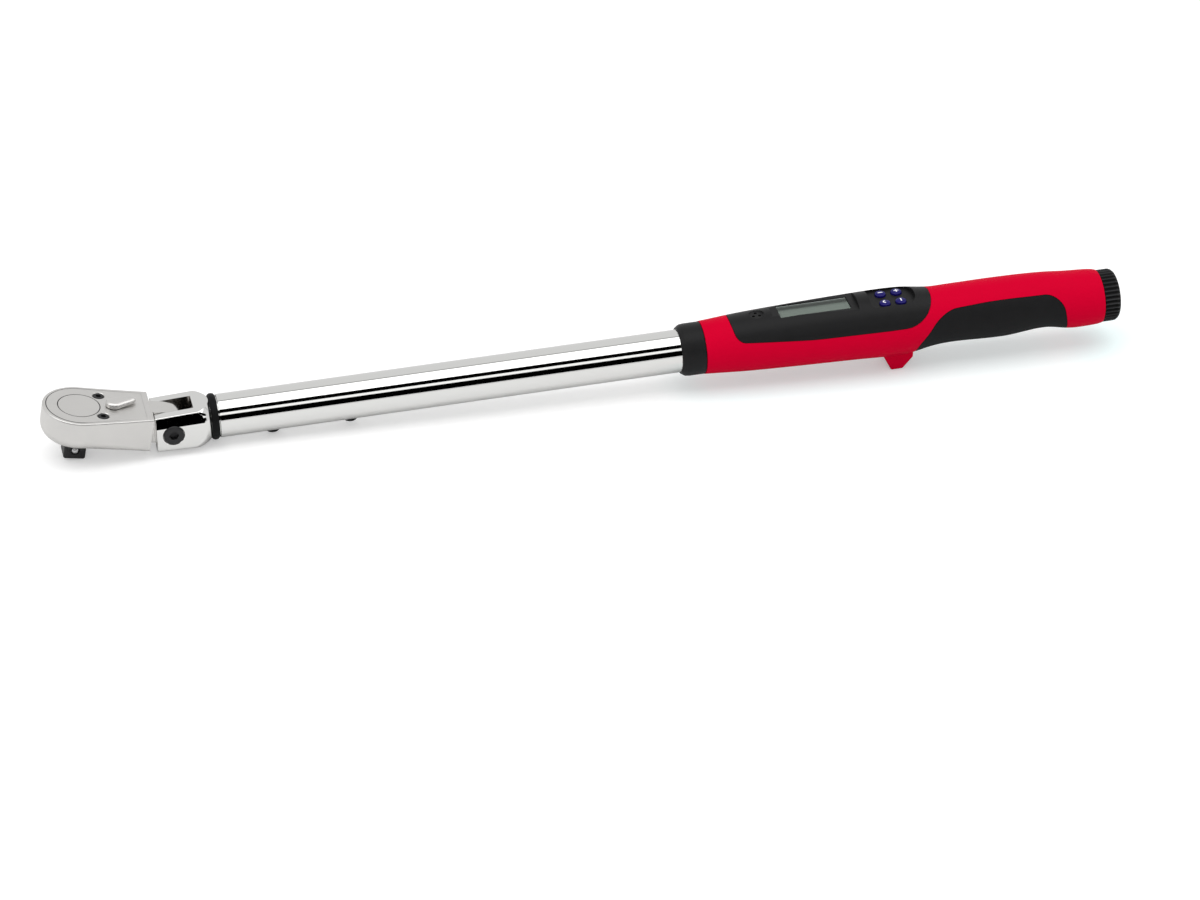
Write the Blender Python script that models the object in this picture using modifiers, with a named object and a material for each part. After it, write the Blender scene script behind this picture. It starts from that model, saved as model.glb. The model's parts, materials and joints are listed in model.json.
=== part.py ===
"""Digital torque wrench with a flex ratchet head and a moulded electronics handle.

Metres, +Z up. The tube runs along +X, the display faces +Z, and the origin is the centre of the
square drive's end face. The tool is drawn in the tube's frame, whose zero is the flex pivot, and
the head is drawn straight in its own frame and then turned about that pivot to its resting angle.
"""

import math

import bmesh
import bpy
from mathutils import Matrix, Vector

mm = 0.001

# Fits between neighbouring pieces
GAP = 0.3 * mm
TOOTH_GAP = 0.3 * mm

# How far cutters reach past the tool's outside
BEYOND = 40 * mm

# Flex joint and head
FLEX_ANGLE = math.radians(11)
HEAD_REACH = 54 * mm
HEAD_RADIUS = 21 * mm
HEAD_THICKNESS = 19.5 * mm
HEAD_SHOULDER_RISE = 1.0 * mm
HEAD_SHOULDER_WIDTH = 32 * mm
HEAD_EDGE_ROUND = 1.4 * mm
HEAD_BELLY_ROUND = 4.5 * mm
SHOULDER_CLEARANCE = 3.6 * mm
TONGUE_THICKNESS = 12.4 * mm
TONGUE_RADIUS = 10.2 * mm
WASHER_THICKNESS = 0.8 * mm
WASHER_DIAMETER = 17 * mm

# Cover plate and its screws
COVER_THICKNESS = 2.8 * mm
COVER_MARGIN = 2.3 * mm
COVER_RING_RADIUS = 12.1 * mm
COVER_RING_WIDTH = 0.5 * mm
COVER_RING_DEPTH = 0.4 * mm
COVER_SCREW_FORWARD = 12.7 * mm
COVER_SCREW_SIDE = 11 * mm
COVER_SCREW_HEAD = 6.5 * mm
COVER_SCREW_HEAD_DEPTH = 1.5 * mm
COVER_SCREW_SHANK = 3 * mm
COVER_SCREW_LENGTH = 12 * mm

# Ratchet mechanism
GEAR_TEETH = 72
GEAR_RADIUS = 12.6 * mm
TOOTH_DEPTH = 0.9 * mm
CHAMBER_FLOOR = 3.0 * mm
JOURNAL_RADIUS = 10.3 * mm
DRIVE_SQUARE = 12.7 * mm
DRIVE_LENGTH = 12.7 * mm
DRIVE_CHAMFER = 0.9 * mm
BALL_RADIUS = 2.4 * mm
BALL_PROUD = 0.9 * mm
BALL_DROP = 7.0 * mm
BALL_TRAVEL = 0.85 * mm
BALL_BORE_DEPTH = 10 * mm
LEVER_OFFSET = 20 * mm
LEVER_SHAFT_RADIUS = 3.3 * mm
LEVER_BOSS_RADIUS = 3.5 * mm
LEVER_ARM = 12.2 * mm
LEVER_TIP_RADIUS = 1.7 * mm
LEVER_HEIGHT = 2.5 * mm
LEVER_THROW = math.radians(20)
PAWL_SWING = math.radians(7)
PAWL_HALF_WIDTH = 8 * mm
PAWL_WALL = 2.4 * mm
PLUNGER_RADIUS = 1.0 * mm
PLUNGER_LENGTH = 3.2 * mm
NOTCH_DEPTH = 1.0 * mm

# Yoke and pivot screw
YOKE_FORWARD = 10 * mm
YOKE_BODY_LENGTH = 31 * mm
YOKE_WIDTH = 29 * mm
YOKE_HEIGHT = 21.8 * mm
YOKE_REAR_HEIGHT = 24.4 * mm
YOKE_EDGE_ROUND = 4.6 * mm
YOKE_WINDOW = 13 * mm
NECK_RADIUS = 11.3 * mm
NECK_STEP = 1.6 * mm
PIVOT_SHANK_RADIUS = 4 * mm
PIVOT_HEAD_RADIUS = 5.9 * mm
PIVOT_HEAD_DEPTH = 3 * mm
PIVOT_PROUD = 0.5 * mm
PIVOT_FAR_WALL = 2.5 * mm
PIVOT_HEX = 5 * mm

# Lever tube and the beam inside it
TUBE_DIAMETER = 25.4 * mm
TUBE_WALL = 2.2 * mm
TUBE_BARE_LENGTH = 272.6 * mm
SEAL_WIDTH = 4.5 * mm
SEAL_DIAMETER = 27 * mm
SPIGOT_LENGTH = 23 * mm
BEAM_STUD_RADIUS = 5 * mm
BEAM_STUD_LENGTH = 12 * mm
BEAM_BOSS_LENGTH = 16 * mm
BEAM_GAUGE_LENGTH = 29.6 * mm
BEAM_GAUGE_WIDTH = 9 * mm
BEAM_GAUGE_HEIGHT = 12 * mm
GAUGE_LENGTH = 9 * mm
GAUGE_HEIGHT = 6 * mm
GAUGE_THICKNESS = 0.5 * mm
TUBE_SCREW_HEAD = 8 * mm
TUBE_SCREW_HEAD_DEPTH = 1.5 * mm
TUBE_SCREW_SHANK = 4 * mm
TUBE_SCREW_LENGTH = 7.4 * mm
CABLE_DIAMETER = 2.2 * mm
CABLE_GROOVE = 3.4 * mm

# Handle, an electronics end and then a grip end. A section is its share of that end's length, the
# wall over the tube and the drop of its centre
COLLAR_LENGTH = 14 * mm
COLLAR_DIAMETER = 31 * mm
COLLAR_CHAMFER = 2.2 * mm
ELECTRONICS_LENGTH = 120.7 * mm
ELECTRONICS_SECTIONS = (
    (0.000, 3.00 * mm, 0.0 * mm),
    (0.238, 4.95 * mm, 0.0 * mm),
    (0.746, 7.00 * mm, 0.2 * mm),
    (1.000, 7.40 * mm, 0.7 * mm),
)
GRIP_END_LENGTH = 122.7 * mm
GRIP_END_SECTIONS = (
    (0.155, 4.90 * mm, 0.4 * mm),
    (0.252, 4.60 * mm, 0.1 * mm),
    (0.504, 5.10 * mm, 0.6 * mm),
    (0.712, 3.90 * mm, 0.0 * mm),
    (0.847, 4.50 * mm, 2.3 * mm),
    (0.970, 4.00 * mm, 2.9 * mm),
    (1.000, 3.30 * mm, 3.1 * mm),
)
HANDLE_STATIONS = 17
HANDLE_SIDES = 26

# Grip insert and hand stop, set back from the end of the electronics
GRIP_SETBACK = 9 * mm
GRIP_REAR_MARGIN = 18.4 * mm
GRIP_SLOPE = 18 * mm
GRIP_TOP = 12 * mm
GRIP_THICKNESS = 2.4 * mm
STOP_FORWARD = 11 * mm
STOP_LENGTH = 19 * mm
STOP_TIP_LENGTH = 7 * mm
STOP_DROP = 29 * mm
STOP_WIDTH = 12 * mm

# Display panel, along the handle from its front
PANEL_START = 15.4 * mm
PANEL_TAIL = 18.7 * mm
PANEL_FRONT_Z = 9 * mm
PANEL_REAR_Z = 4.8 * mm
PANEL_FRONT_SLOPE = 6 * mm
PANEL_WALL = 2.2 * mm
PANEL_ROOF = 14.6 * mm
DECK_Z = 17 * mm
DECK_TILT = 0.5 * mm
DECK_MARGIN = 4.5 * mm
DISPLAY_START = 46.2 * mm
DISPLAY_REAR_MARGIN = 11.7 * mm
DISPLAY_WIDTH = 12.4 * mm
DISPLAY_LEDGE = 1.4 * mm
LENS_THICKNESS = 0.8 * mm
LENS_SUNK = 0.2 * mm
LCD_MARGIN = 3.2 * mm
LCD_THICKNESS = 2.3 * mm
BUZZER_CENTRE = 33.2 * mm
BUZZER_RADIUS = 5 * mm
BUZZER_THICKNESS = 1.0 * mm
BUZZER_HOLE_RADIUS = 0.8 * mm
BUZZER_DISH_RADIUS = 4.5 * mm
BUZZER_DISH_DEPTH = 0.9 * mm
BUZZER_HOLE_CIRCLE = 1.9 * mm
BUTTON_FORWARD = 5.7 * mm
BUTTON_PITCH_ALONG = 9.7 * mm
BUTTON_PITCH_ACROSS = 10.5 * mm
BUTTON_DIAMETER = 6.5 * mm
BUTTON_DOME = 0.9 * mm
BUTTON_FLANGE = 0.65 * mm
BUTTON_FLANGE_THICKNESS = 0.6 * mm
BUTTON_TRAVEL = 0.8 * mm
POCKET_FLOOR = 15.5 * mm
POCKET_MARGIN_ALONG = 5.9 * mm
POCKET_MARGIN_ACROSS = 1.8 * mm
BOARD_TOP = 11.6 * mm
BOARD_THICKNESS = 1.6 * mm
BOARD_WIDTH = 20.4 * mm
PLUG_SETBACK = 6 * mm
PLUG_SIZE = (6 * mm, 7 * mm, 3.2 * mm)
CHIP_SETBACK = 24 * mm
CHIP_SIZE = (10 * mm, 10 * mm, 1.4 * mm)
TROUGH_Z = 5 * mm

# Batteries and end cap
BATTERY_DIAMETER = 14.5 * mm
BATTERY_LENGTH = 50.5 * mm
BATTERY_COUNT = 3
BATTERY_DROP = 3.2 * mm
CAP_DIAMETER = 31.2 * mm
CAP_LENGTH = 10.3 * mm
CAP_RIBS = 36
CAP_RIB_DEPTH = 0.8 * mm
CAP_EDGE_ROUND = 3.2 * mm
CAP_PLUG_RADIUS = 9.7 * mm
CAP_PLUG_LENGTH = 11.2 * mm
CAP_CUP_RADIUS = 7.6 * mm
CAP_CUP_DEPTH = 5 * mm
CONTACT_RADIUS = 5.5 * mm
CONTACT_THICKNESS = 0.6 * mm
CONTACT_PIN_RADIUS = 1.2 * mm
CONTACT_PIN_LENGTH = 5 * mm
CAP_SEAL_MINOR = 0.85 * mm
CARRIER_LENGTH = 5 * mm
FRONT_SPRING_LENGTH = 5.4 * mm

# Places along the tube that follow from the sizes above, from the flex pivot
YOKE_REAR = YOKE_BODY_LENGTH - YOKE_FORWARD
SEAL_START = YOKE_REAR + NECK_STEP
TUBE_START = SEAL_START + SEAL_WIDTH + GAP
COLLAR_START = TUBE_START + TUBE_BARE_LENGTH
HANDLE_START = COLLAR_START + COLLAR_LENGTH + GAP
ELECTRONICS_END = HANDLE_START + ELECTRONICS_LENGTH
HANDLE_END = ELECTRONICS_END + GRIP_END_LENGTH
HANDLE_SECTIONS = [(HANDLE_START + a * ELECTRONICS_LENGTH, *rest) for a, *rest in ELECTRONICS_SECTIONS]
HANDLE_SECTIONS += [(ELECTRONICS_END + a * GRIP_END_LENGTH, *rest) for a, *rest in GRIP_END_SECTIONS]
CAP_START = HANDLE_END + GAP
CAP_PLUG_END = CAP_START - CAP_PLUG_LENGTH
BATTERY_END = CAP_PLUG_END - 2 * GAP - CONTACT_THICKNESS - 3 * mm
BATTERY_START = BATTERY_END - BATTERY_COUNT * (BATTERY_LENGTH + GAP) + GAP
TUBE_END = BATTERY_END - 13 * mm
TUBE_RADIUS = TUBE_DIAMETER / 2
TUBE_BORE = TUBE_RADIUS - TUBE_WALL
BOSS_RADIUS = TUBE_BORE - GAP
SPIGOT_END = TUBE_START + SPIGOT_LENGTH
BEAM_START = SPIGOT_END + GAP
BEAM_GAUGE_START = BEAM_START + BEAM_BOSS_LENGTH
BEAM_GAUGE_END = BEAM_GAUGE_START + BEAM_GAUGE_LENGTH
BEAM_END = BEAM_GAUGE_END + BEAM_BOSS_LENGTH
TUBE_SCREWS = (BEAM_START + BEAM_BOSS_LENGTH / 2, BEAM_END - BEAM_BOSS_LENGTH / 2)
PANEL_X = HANDLE_START + PANEL_START
PANEL_END = ELECTRONICS_END + PANEL_TAIL
BUZZER_X = HANDLE_START + BUZZER_CENTRE
BUTTON_X = ELECTRONICS_END - BUTTON_FORWARD
POCKET_HALF_LENGTH = (BUTTON_PITCH_ALONG + BUTTON_DIAMETER) / 2 + POCKET_MARGIN_ALONG
POCKET_HALF_WIDTH = (BUTTON_PITCH_ACROSS + BUTTON_DIAMETER) / 2 + POCKET_MARGIN_ACROSS
DISPLAY_X = HANDLE_START + DISPLAY_START
DISPLAY_END = BUTTON_X - POCKET_HALF_LENGTH - DISPLAY_REAR_MARGIN
GRIP_START = ELECTRONICS_END + GRIP_SETBACK
GRIP_END = HANDLE_END - GRIP_REAR_MARGIN
STOP_START = ELECTRONICS_END - STOP_FORWARD
CAVITY_START = BUZZER_X - BUZZER_RADIUS - 2 * GAP
CAVITY_END = PANEL_END - 6.5 * mm
BOARD_START = BUZZER_X + BUZZER_RADIUS + 4 * GAP
BOARD_END = CAVITY_END - 2 * GAP
TROUGH_START = BOARD_START - 2 * mm
TROUGH_END = CAVITY_END + 3 * mm
CABLE_HEIGHT = TUBE_BORE - CABLE_DIAMETER

# Places in the head's frame
HEAD_BOTTOM = -HEAD_THICKNESS / 2
HEAD_TOP = HEAD_THICKNESS / 2
SHOULDER_X = -YOKE_FORWARD - SHOULDER_CLEARANCE
LEVER_X = -HEAD_REACH + LEVER_OFFSET
CHAMBER_BOTTOM = HEAD_BOTTOM + CHAMBER_FLOOR
COVER_UNDERSIDE = HEAD_TOP - COVER_THICKNESS
GEAR_BOTTOM = CHAMBER_BOTTOM + GAP
GEAR_TOP = COVER_UNDERSIDE - 2 * GAP
DRIVE_END = HEAD_BOTTOM - DRIVE_LENGTH

ALONG_X = (0, math.pi / 2, 0)
ALONG_Y = (-math.pi / 2, 0, 0)
SIDE_VIEW = (math.pi / 2, 0, 0)


def clear_scene():
    for item in list(bpy.data.objects):
        bpy.data.objects.remove(item, do_unlink=True)


def collection(name):
    made = bpy.data.collections.new(name)
    bpy.context.scene.collection.children.link(made)
    return made


def material(name, colour, roughness, metallic=0.0, alpha=1.0):
    made = bpy.data.materials.new(name)
    made.use_nodes = True
    shader = made.node_tree.nodes["Principled BSDF"]
    shader.inputs["Base Color"].default_value = (*colour, 1.0)
    shader.inputs["Roughness"].default_value = roughness
    shader.inputs["Metallic"].default_value = metallic
    shader.inputs["Alpha"].default_value = alpha
    made.diffuse_color = (*colour, alpha)
    return made


def empty(name, parent=None, location=(0, 0, 0), rotation=(0, 0, 0)):
    made = bpy.data.objects.new(name, None)
    made.empty_display_size = 10 * mm
    made.parent = parent
    made.location = location
    made.rotation_euler = rotation
    PARTS.objects.link(made)
    return made


def piece(name, mesh, parent, finish, location=(0, 0, 0), rotation=(0, 0, 0)):
    """A finished sub-part when it has a finish, and a hidden cutter when it has none."""
    made = bpy.data.objects.new(name, mesh)
    made.parent = parent
    made.location = location
    made.rotation_euler = rotation
    if finish:
        mesh.materials.append(finish)
        PARTS.objects.link(made)
    else:
        made.hide_render = True
        made.display_type = "WIRE"
        CUTTERS.objects.link(made)
    return made


def combine(target, other, operation="DIFFERENCE"):
    step = target.modifiers.new(other.name, "BOOLEAN")
    step.operation = operation
    step.object = other
    step.solver = "EXACT"
    return target


def rounded(target, width, segments=2, angle=50):
    step = target.modifiers.new("rounding", "BEVEL")
    step.width = width
    step.segments = segments
    step.limit_method = "ANGLE"
    step.angle_limit = math.radians(angle)
    return target


def turned(name, profile, parent, finish=None, sides=32, ring=False, location=(0, 0, 0), rotation=(0, 0, 0)):
    """A turned solid: profile points are (radius, height), down the outer side from the top."""
    mesh = bpy.data.meshes.new(name)
    count = len(profile)
    edges = [(i, i + 1) for i in range(count - 1)]
    if ring:
        edges.append((count - 1, 0))
    mesh.from_pydata([(radius, 0, height) for radius, height in profile], edges, [])
    made = piece(name, mesh, parent, finish, location, rotation)
    step = made.modifiers.new("turning", "SCREW")
    step.axis = "Z"
    step.angle = 2 * math.pi
    step.steps = sides
    step.render_steps = sides
    step.use_merge_vertices = True
    step.merge_threshold = 0.00001
    step.use_smooth_shade = True
    return made


def rod(name, radius, low, high, parent, finish=None, sides=24, location=(0, 0, 0), rotation=(0, 0, 0)):
    profile = [(0, high), (radius, high), (radius, low), (0, low)]
    return turned(name, profile, parent, finish, sides, False, location, rotation)


def box(name, low, high, parent, finish=None):
    mesh = bpy.data.meshes.new(name)
    shape = bmesh.new()
    bmesh.ops.create_cube(shape, size=1.0)
    size = Vector(high) - Vector(low)
    bmesh.ops.scale(shape, vec=size, verts=shape.verts)
    bmesh.ops.translate(shape, vec=(Vector(high) + Vector(low)) / 2, verts=shape.verts)
    shape.to_mesh(mesh)
    shape.free()
    return piece(name, mesh, parent, finish)


def plate(name, outline, low, high, parent, finish=None, rotation=(0, 0, 0)):
    """A flat outline with thickness from low to high along its own Z."""
    curve = bpy.data.curves.new(name, "CURVE")
    curve.dimensions = "2D"
    curve.fill_mode = "BOTH"
    curve.extrude = (high - low) / 2
    spline = curve.splines.new("POLY")
    spline.points.add(len(outline) - 1)
    for point, (x, y) in zip(spline.points, outline):
        point.co = (x, y, 0, 1)
    spline.use_cyclic_u = True
    mesh = mesh_of_curve(name, curve)
    mesh.transform(Matrix.Translation((0, 0, (high + low) / 2)))
    return piece(name, mesh, parent, finish, rotation=rotation)


def wire(name, points, radius, parent, finish, sides=0):
    """A round wire through the points, with flat ends."""
    curve = bpy.data.curves.new(name, "CURVE")
    curve.dimensions = "3D"
    curve.bevel_depth = radius
    curve.bevel_resolution = sides
    curve.use_fill_caps = True
    spline = curve.splines.new("POLY")
    spline.points.add(len(points) - 1)
    for point, place in zip(spline.points, points):
        point.co = (*place, 1)
    return piece(name, mesh_of_curve(name, curve), parent, finish)


def mesh_of_curve(name, curve):
    holder = bpy.data.objects.new(name, curve)
    bpy.context.scene.collection.objects.link(holder)
    seen = holder.evaluated_get(bpy.context.evaluated_depsgraph_get())
    mesh = bpy.data.meshes.new_from_object(seen)
    bpy.data.objects.remove(holder)
    shape = bmesh.new()
    shape.from_mesh(mesh)
    bmesh.ops.remove_doubles(shape, verts=shape.verts, dist=0.000001)
    bmesh.ops.dissolve_limit(shape, angle_limit=0.001, verts=shape.verts, edges=shape.edges)
    bmesh.ops.recalc_face_normals(shape, faces=shape.faces)
    shape.to_mesh(mesh)
    shape.free()
    return mesh


def arc(centre, radius, start, end, steps):
    turn = (end - start) / steps
    angles = [start + turn * i for i in range(steps + 1)]
    return [(centre[0] + radius * math.cos(a), centre[1] + radius * math.sin(a)) for a in angles]


def coil(radius_start, radius_end, low, high, turns, steps=7):
    """Points of a spring about X, from low to high."""
    count = int(turns * steps)
    points = []
    for i in range(count + 1):
        share = i / count
        radius = radius_start + (radius_end - radius_start) * share
        angle = 2 * math.pi * turns * share
        points.append((low + (high - low) * share, radius * math.cos(angle), radius * math.sin(angle)))
    return points


def filleted(corners, radii, steps=5):
    """An outline whose corners are rounded to the given radii, a zero leaving one sharp."""
    points = []
    count = len(corners)
    for i, radius in enumerate(radii):
        here = Vector(corners[i])
        if not radius:
            points.append(tuple(here))
            continue
        back = (Vector(corners[i - 1]) - here).normalized()
        ahead = (Vector(corners[(i + 1) % count]) - here).normalized()
        half = back.angle(ahead) / 2
        centre = here + (back + ahead).normalized() * radius / math.sin(half)
        first = here + back * radius / math.tan(half) - centre
        last = here + ahead * radius / math.tan(half) - centre
        sweep = first.angle_signed(last)
        for step in range(steps + 1):
            turn = Matrix.Rotation(-sweep * step / steps, 2)
            points.append(tuple(centre + turn @ first))
    return points


# Head

def teardrop(radius, tail_x, tail_half, steps=20):
    """Plan outline round the drive axis, tapering to a square tail."""
    reach = tail_x + HEAD_REACH
    aim = math.atan2(tail_half, reach)
    touch = aim + math.acos(radius / math.hypot(reach, tail_half))
    nose = arc((-HEAD_REACH, 0), radius, touch, 2 * math.pi - touch, steps)
    return nose + [(tail_x, -tail_half), (tail_x, tail_half)]


def rise_to_shoulder(mesh):
    """Thicken the head evenly from the drive axis to the shoulder."""
    for vertex in mesh.vertices:
        share = max(0.0, (vertex.co.x + HEAD_REACH) / (SHOULDER_X + HEAD_REACH))
        vertex.co.z *= 1 + share * HEAD_SHOULDER_RISE / HEAD_TOP


def head_body():
    """The head's outside: a teardrop with a rounded belly and soft upper edges."""
    outline = teardrop(HEAD_RADIUS, SHOULDER_X, HEAD_SHOULDER_WIDTH / 2)
    body = plate("ratchet_housing", outline, HEAD_BOTTOM, HEAD_TOP, HEAD, SATIN)
    shape = bmesh.new()
    shape.from_mesh(body.data)

    def rim(height):
        flat = [f for f in shape.faces if abs(f.calc_center_median().z - height) < 1e-6]
        edges = [e for f in flat for e in f.edges]
        return [e for e in edges if min(v.co.x for v in e.verts) < SHOULDER_X - 1e-6]

    settings = {"affect": "EDGES", "profile": 0.5, "material": -1, "clamp_overlap": True}
    bmesh.ops.bevel(shape, geom=rim(HEAD_BOTTOM), offset=HEAD_BELLY_ROUND, segments=2, **settings)
    bmesh.ops.bevel(shape, geom=rim(HEAD_TOP), offset=HEAD_EDGE_ROUND, segments=2, **settings)
    shape.to_mesh(body.data)
    shape.free()
    rise_to_shoulder(body.data)
    return body


def cover_outline(grown):
    tail = SHOULDER_X - COVER_MARGIN - 2 * GAP + grown
    return teardrop(HEAD_RADIUS - COVER_MARGIN + grown, tail, HEAD_SHOULDER_WIDTH / 2 - COVER_MARGIN + grown)


def gear_outline(grown=0.0, teeth=GEAR_TEETH):
    step = math.pi / teeth
    outline = []
    for i in range(2 * teeth):
        reach = GEAR_RADIUS + grown - (TOOTH_DEPTH if i % 2 else 0)
        outline.append((reach * math.cos(i * step), reach * math.sin(i * step)))
    return outline


def cover_screw_place(side):
    return (-HEAD_REACH + COVER_SCREW_FORWARD, side * COVER_SCREW_SIDE, 0)


def ratchet_housing():
    body = head_body()
    root = SHOULDER_X - 6 * mm
    tongue = [(root, -TONGUE_RADIUS)] + arc((0, 0), TONGUE_RADIUS, -math.pi / 2, math.pi / 2, 16)
    tongue.append((root, TONGUE_RADIUS))
    half = TONGUE_THICKNESS / 2
    combine(body, plate("tongue", tongue, -half, half, HEAD, rotation=SIDE_VIEW), "UNION")
    recess = plate("cover_recess", cover_outline(GAP), COVER_UNDERSIDE - GAP, HEAD_TOP + 4 * mm, HEAD)
    combine(body, recess)
    top = HEAD_TOP
    at_drive = {"parent": HEAD, "location": (-HEAD_REACH, 0, 0)}
    combine(body, rod("gear_chamber", GEAR_RADIUS + 2 * GAP, CHAMBER_BOTTOM, top, sides=40, **at_drive))
    combine(body, rod("journal_bore", JOURNAL_RADIUS + GAP, HEAD_BOTTOM - mm, HEAD_TOP, sides=28, **at_drive))
    sweep = PAWL_HALF_WIDTH + 2.2 * mm
    back = LEVER_SHAFT_RADIUS + PAWL_WALL + 2.4 * mm
    pocket = [(LEVER_X - 11 * mm, -sweep), (LEVER_X - 2 * mm, -sweep)]
    pocket += arc((LEVER_X, 0), back, -math.pi / 2.6, math.pi / 2.6, 10)
    pocket += [(LEVER_X - 2 * mm, sweep), (LEVER_X - 11 * mm, sweep)]
    combine(body, plate("pawl_chamber", pocket, CHAMBER_BOTTOM, top, HEAD))
    for side, label in ((-1, "right"), (1, "left")):
        depth = HEAD_TOP - COVER_SCREW_LENGTH - GAP
        place = cover_screw_place(side)
        hole = COVER_SCREW_SHANK / 2 + GAP
        combine(body, rod("cover_tap_" + label, hole, depth, top, HEAD, sides=12, location=place))
        seat = WASHER_DIAMETER / 2 + GAP
        floor = half - WASHER_THICKNESS
        ends = sorted((side * floor, side * (half + 2 * mm)))
        combine(body, rod("washer_seat_" + label, seat, ends[0], ends[1], HEAD, sides=20, rotation=ALONG_Y))
    combine(body, rod("pivot_bore", PIVOT_SHANK_RADIUS + GAP, -half - mm, half + mm, HEAD, rotation=ALONG_Y))
    return body


def cover_plate():
    cover = plate("cover_plate", cover_outline(0), COVER_UNDERSIDE, HEAD_TOP, HEAD, SATIN)
    rise_to_shoulder(cover.data)
    low = HEAD_TOP - COVER_RING_DEPTH
    inner = COVER_RING_RADIUS - COVER_RING_WIDTH / 2
    outer = COVER_RING_RADIUS + COVER_RING_WIDTH / 2
    section = [(outer, HEAD_TOP + 2 * mm), (outer, low), (inner, low), (inner, HEAD_TOP + 2 * mm)]
    groove = turned("ring_groove", section, HEAD, None, 36, True, (-HEAD_REACH, 0, 0))
    combine(cover, groove)
    for side, label in ((-1, "right"), (1, "left")):
        place = cover_screw_place(side)
        seat = HEAD_TOP - COVER_SCREW_HEAD_DEPTH - GAP
        head = COVER_SCREW_HEAD / 2 + GAP
        shank = COVER_SCREW_SHANK / 2 + GAP
        section = [(0, HEAD_TOP + 2 * mm), (head, HEAD_TOP + 2 * mm), (head, seat)]
        section += [(shank, seat), (shank, HEAD_BOTTOM), (0, HEAD_BOTTOM)]
        combine(cover, turned("cover_hole_" + label, section, HEAD, None, 16, False, place))
    shaft = rod("lever_hole", LEVER_SHAFT_RADIUS + GAP, 0, HEAD_TOP + 4 * mm, HEAD, location=(LEVER_X, 0, 0))
    return combine(cover, shaft)


def hex_socket(name, across, low, high, parent, location=(0, 0, 0), rotation=(0, 0, 0)):
    return rod(name, across / math.sqrt(3), low, high, parent, None, 6, location, rotation)


def cover_screws():
    top = HEAD_TOP - GAP / 2
    seat = top - COVER_SCREW_HEAD_DEPTH
    head = COVER_SCREW_HEAD / 2
    shank = COVER_SCREW_SHANK / 2
    end = HEAD_TOP - COVER_SCREW_LENGTH
    for side, label in ((-1, "right"), (1, "left")):
        place = cover_screw_place(side)
        section = [(0, top), (head, top), (head, seat), (shank, seat), (shank, end), (0, end)]
        screw = turned("cover_screw_" + label, section, HEAD, BLACK_STEEL, 16, False, place)
        combine(screw, hex_socket("cover_hex_" + label, 2.5 * mm, top - 1.1 * mm, top + mm, HEAD, place))


def drive_gear():
    """Toothed ring, journal and square anvil in one piece, on the drive axis."""
    gear = plate("drive_gear", gear_outline(), GEAR_BOTTOM, GEAR_TOP, DRIVE_AXIS, BLACK_STEEL)
    journal_end = HEAD_BOTTOM - GAP
    combine(gear, rod("journal", JOURNAL_RADIUS, journal_end, 0, DRIVE_AXIS, sides=28), "UNION")
    half = DRIVE_SQUARE / 2
    square = box("square", (-half, -half, DRIVE_END), (half, half, 0), DRIVE_AXIS)
    rounded(square, DRIVE_CHAMFER, 2)
    combine(gear, square, "UNION")
    bore_end = -half + BALL_BORE_DEPTH
    place = (0, 0, HEAD_BOTTOM - BALL_DROP)
    hole = rod("ball_bore", BALL_RADIUS + GAP, -half - mm, bore_end, DRIVE_AXIS, None, 16, place, ALONG_Y)
    return combine(gear, hole)


def socket_ball():
    mesh = bpy.data.meshes.new("socket_ball")
    shape = bmesh.new()
    bmesh.ops.create_uvsphere(shape, u_segments=12, v_segments=8, radius=BALL_RADIUS)
    shape.to_mesh(mesh)
    shape.free()
    mesh.shade_smooth()
    out = DRIVE_SQUARE / 2 + BALL_PROUD - BALL_RADIUS
    piece("socket_ball", mesh, DRIVE_AXIS, BRIGHT_STEEL, (0, -out, HEAD_BOTTOM - BALL_DROP))
    low = -out + BALL_RADIUS + BALL_TRAVEL + GAP / 2
    high = -DRIVE_SQUARE / 2 + BALL_BORE_DEPTH - GAP
    wire_radius = 0.35 * mm
    radius = BALL_RADIUS - wire_radius
    points = coil(radius, radius, low + wire_radius, high - wire_radius, 3.5)
    spring = wire("ball_spring", points, wire_radius, DRIVE_AXIS, BRIGHT_STEEL)
    spring.location = (0, 0, HEAD_BOTTOM - BALL_DROP)
    spring.rotation_euler = (0, 0, math.pi / 2)


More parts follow.
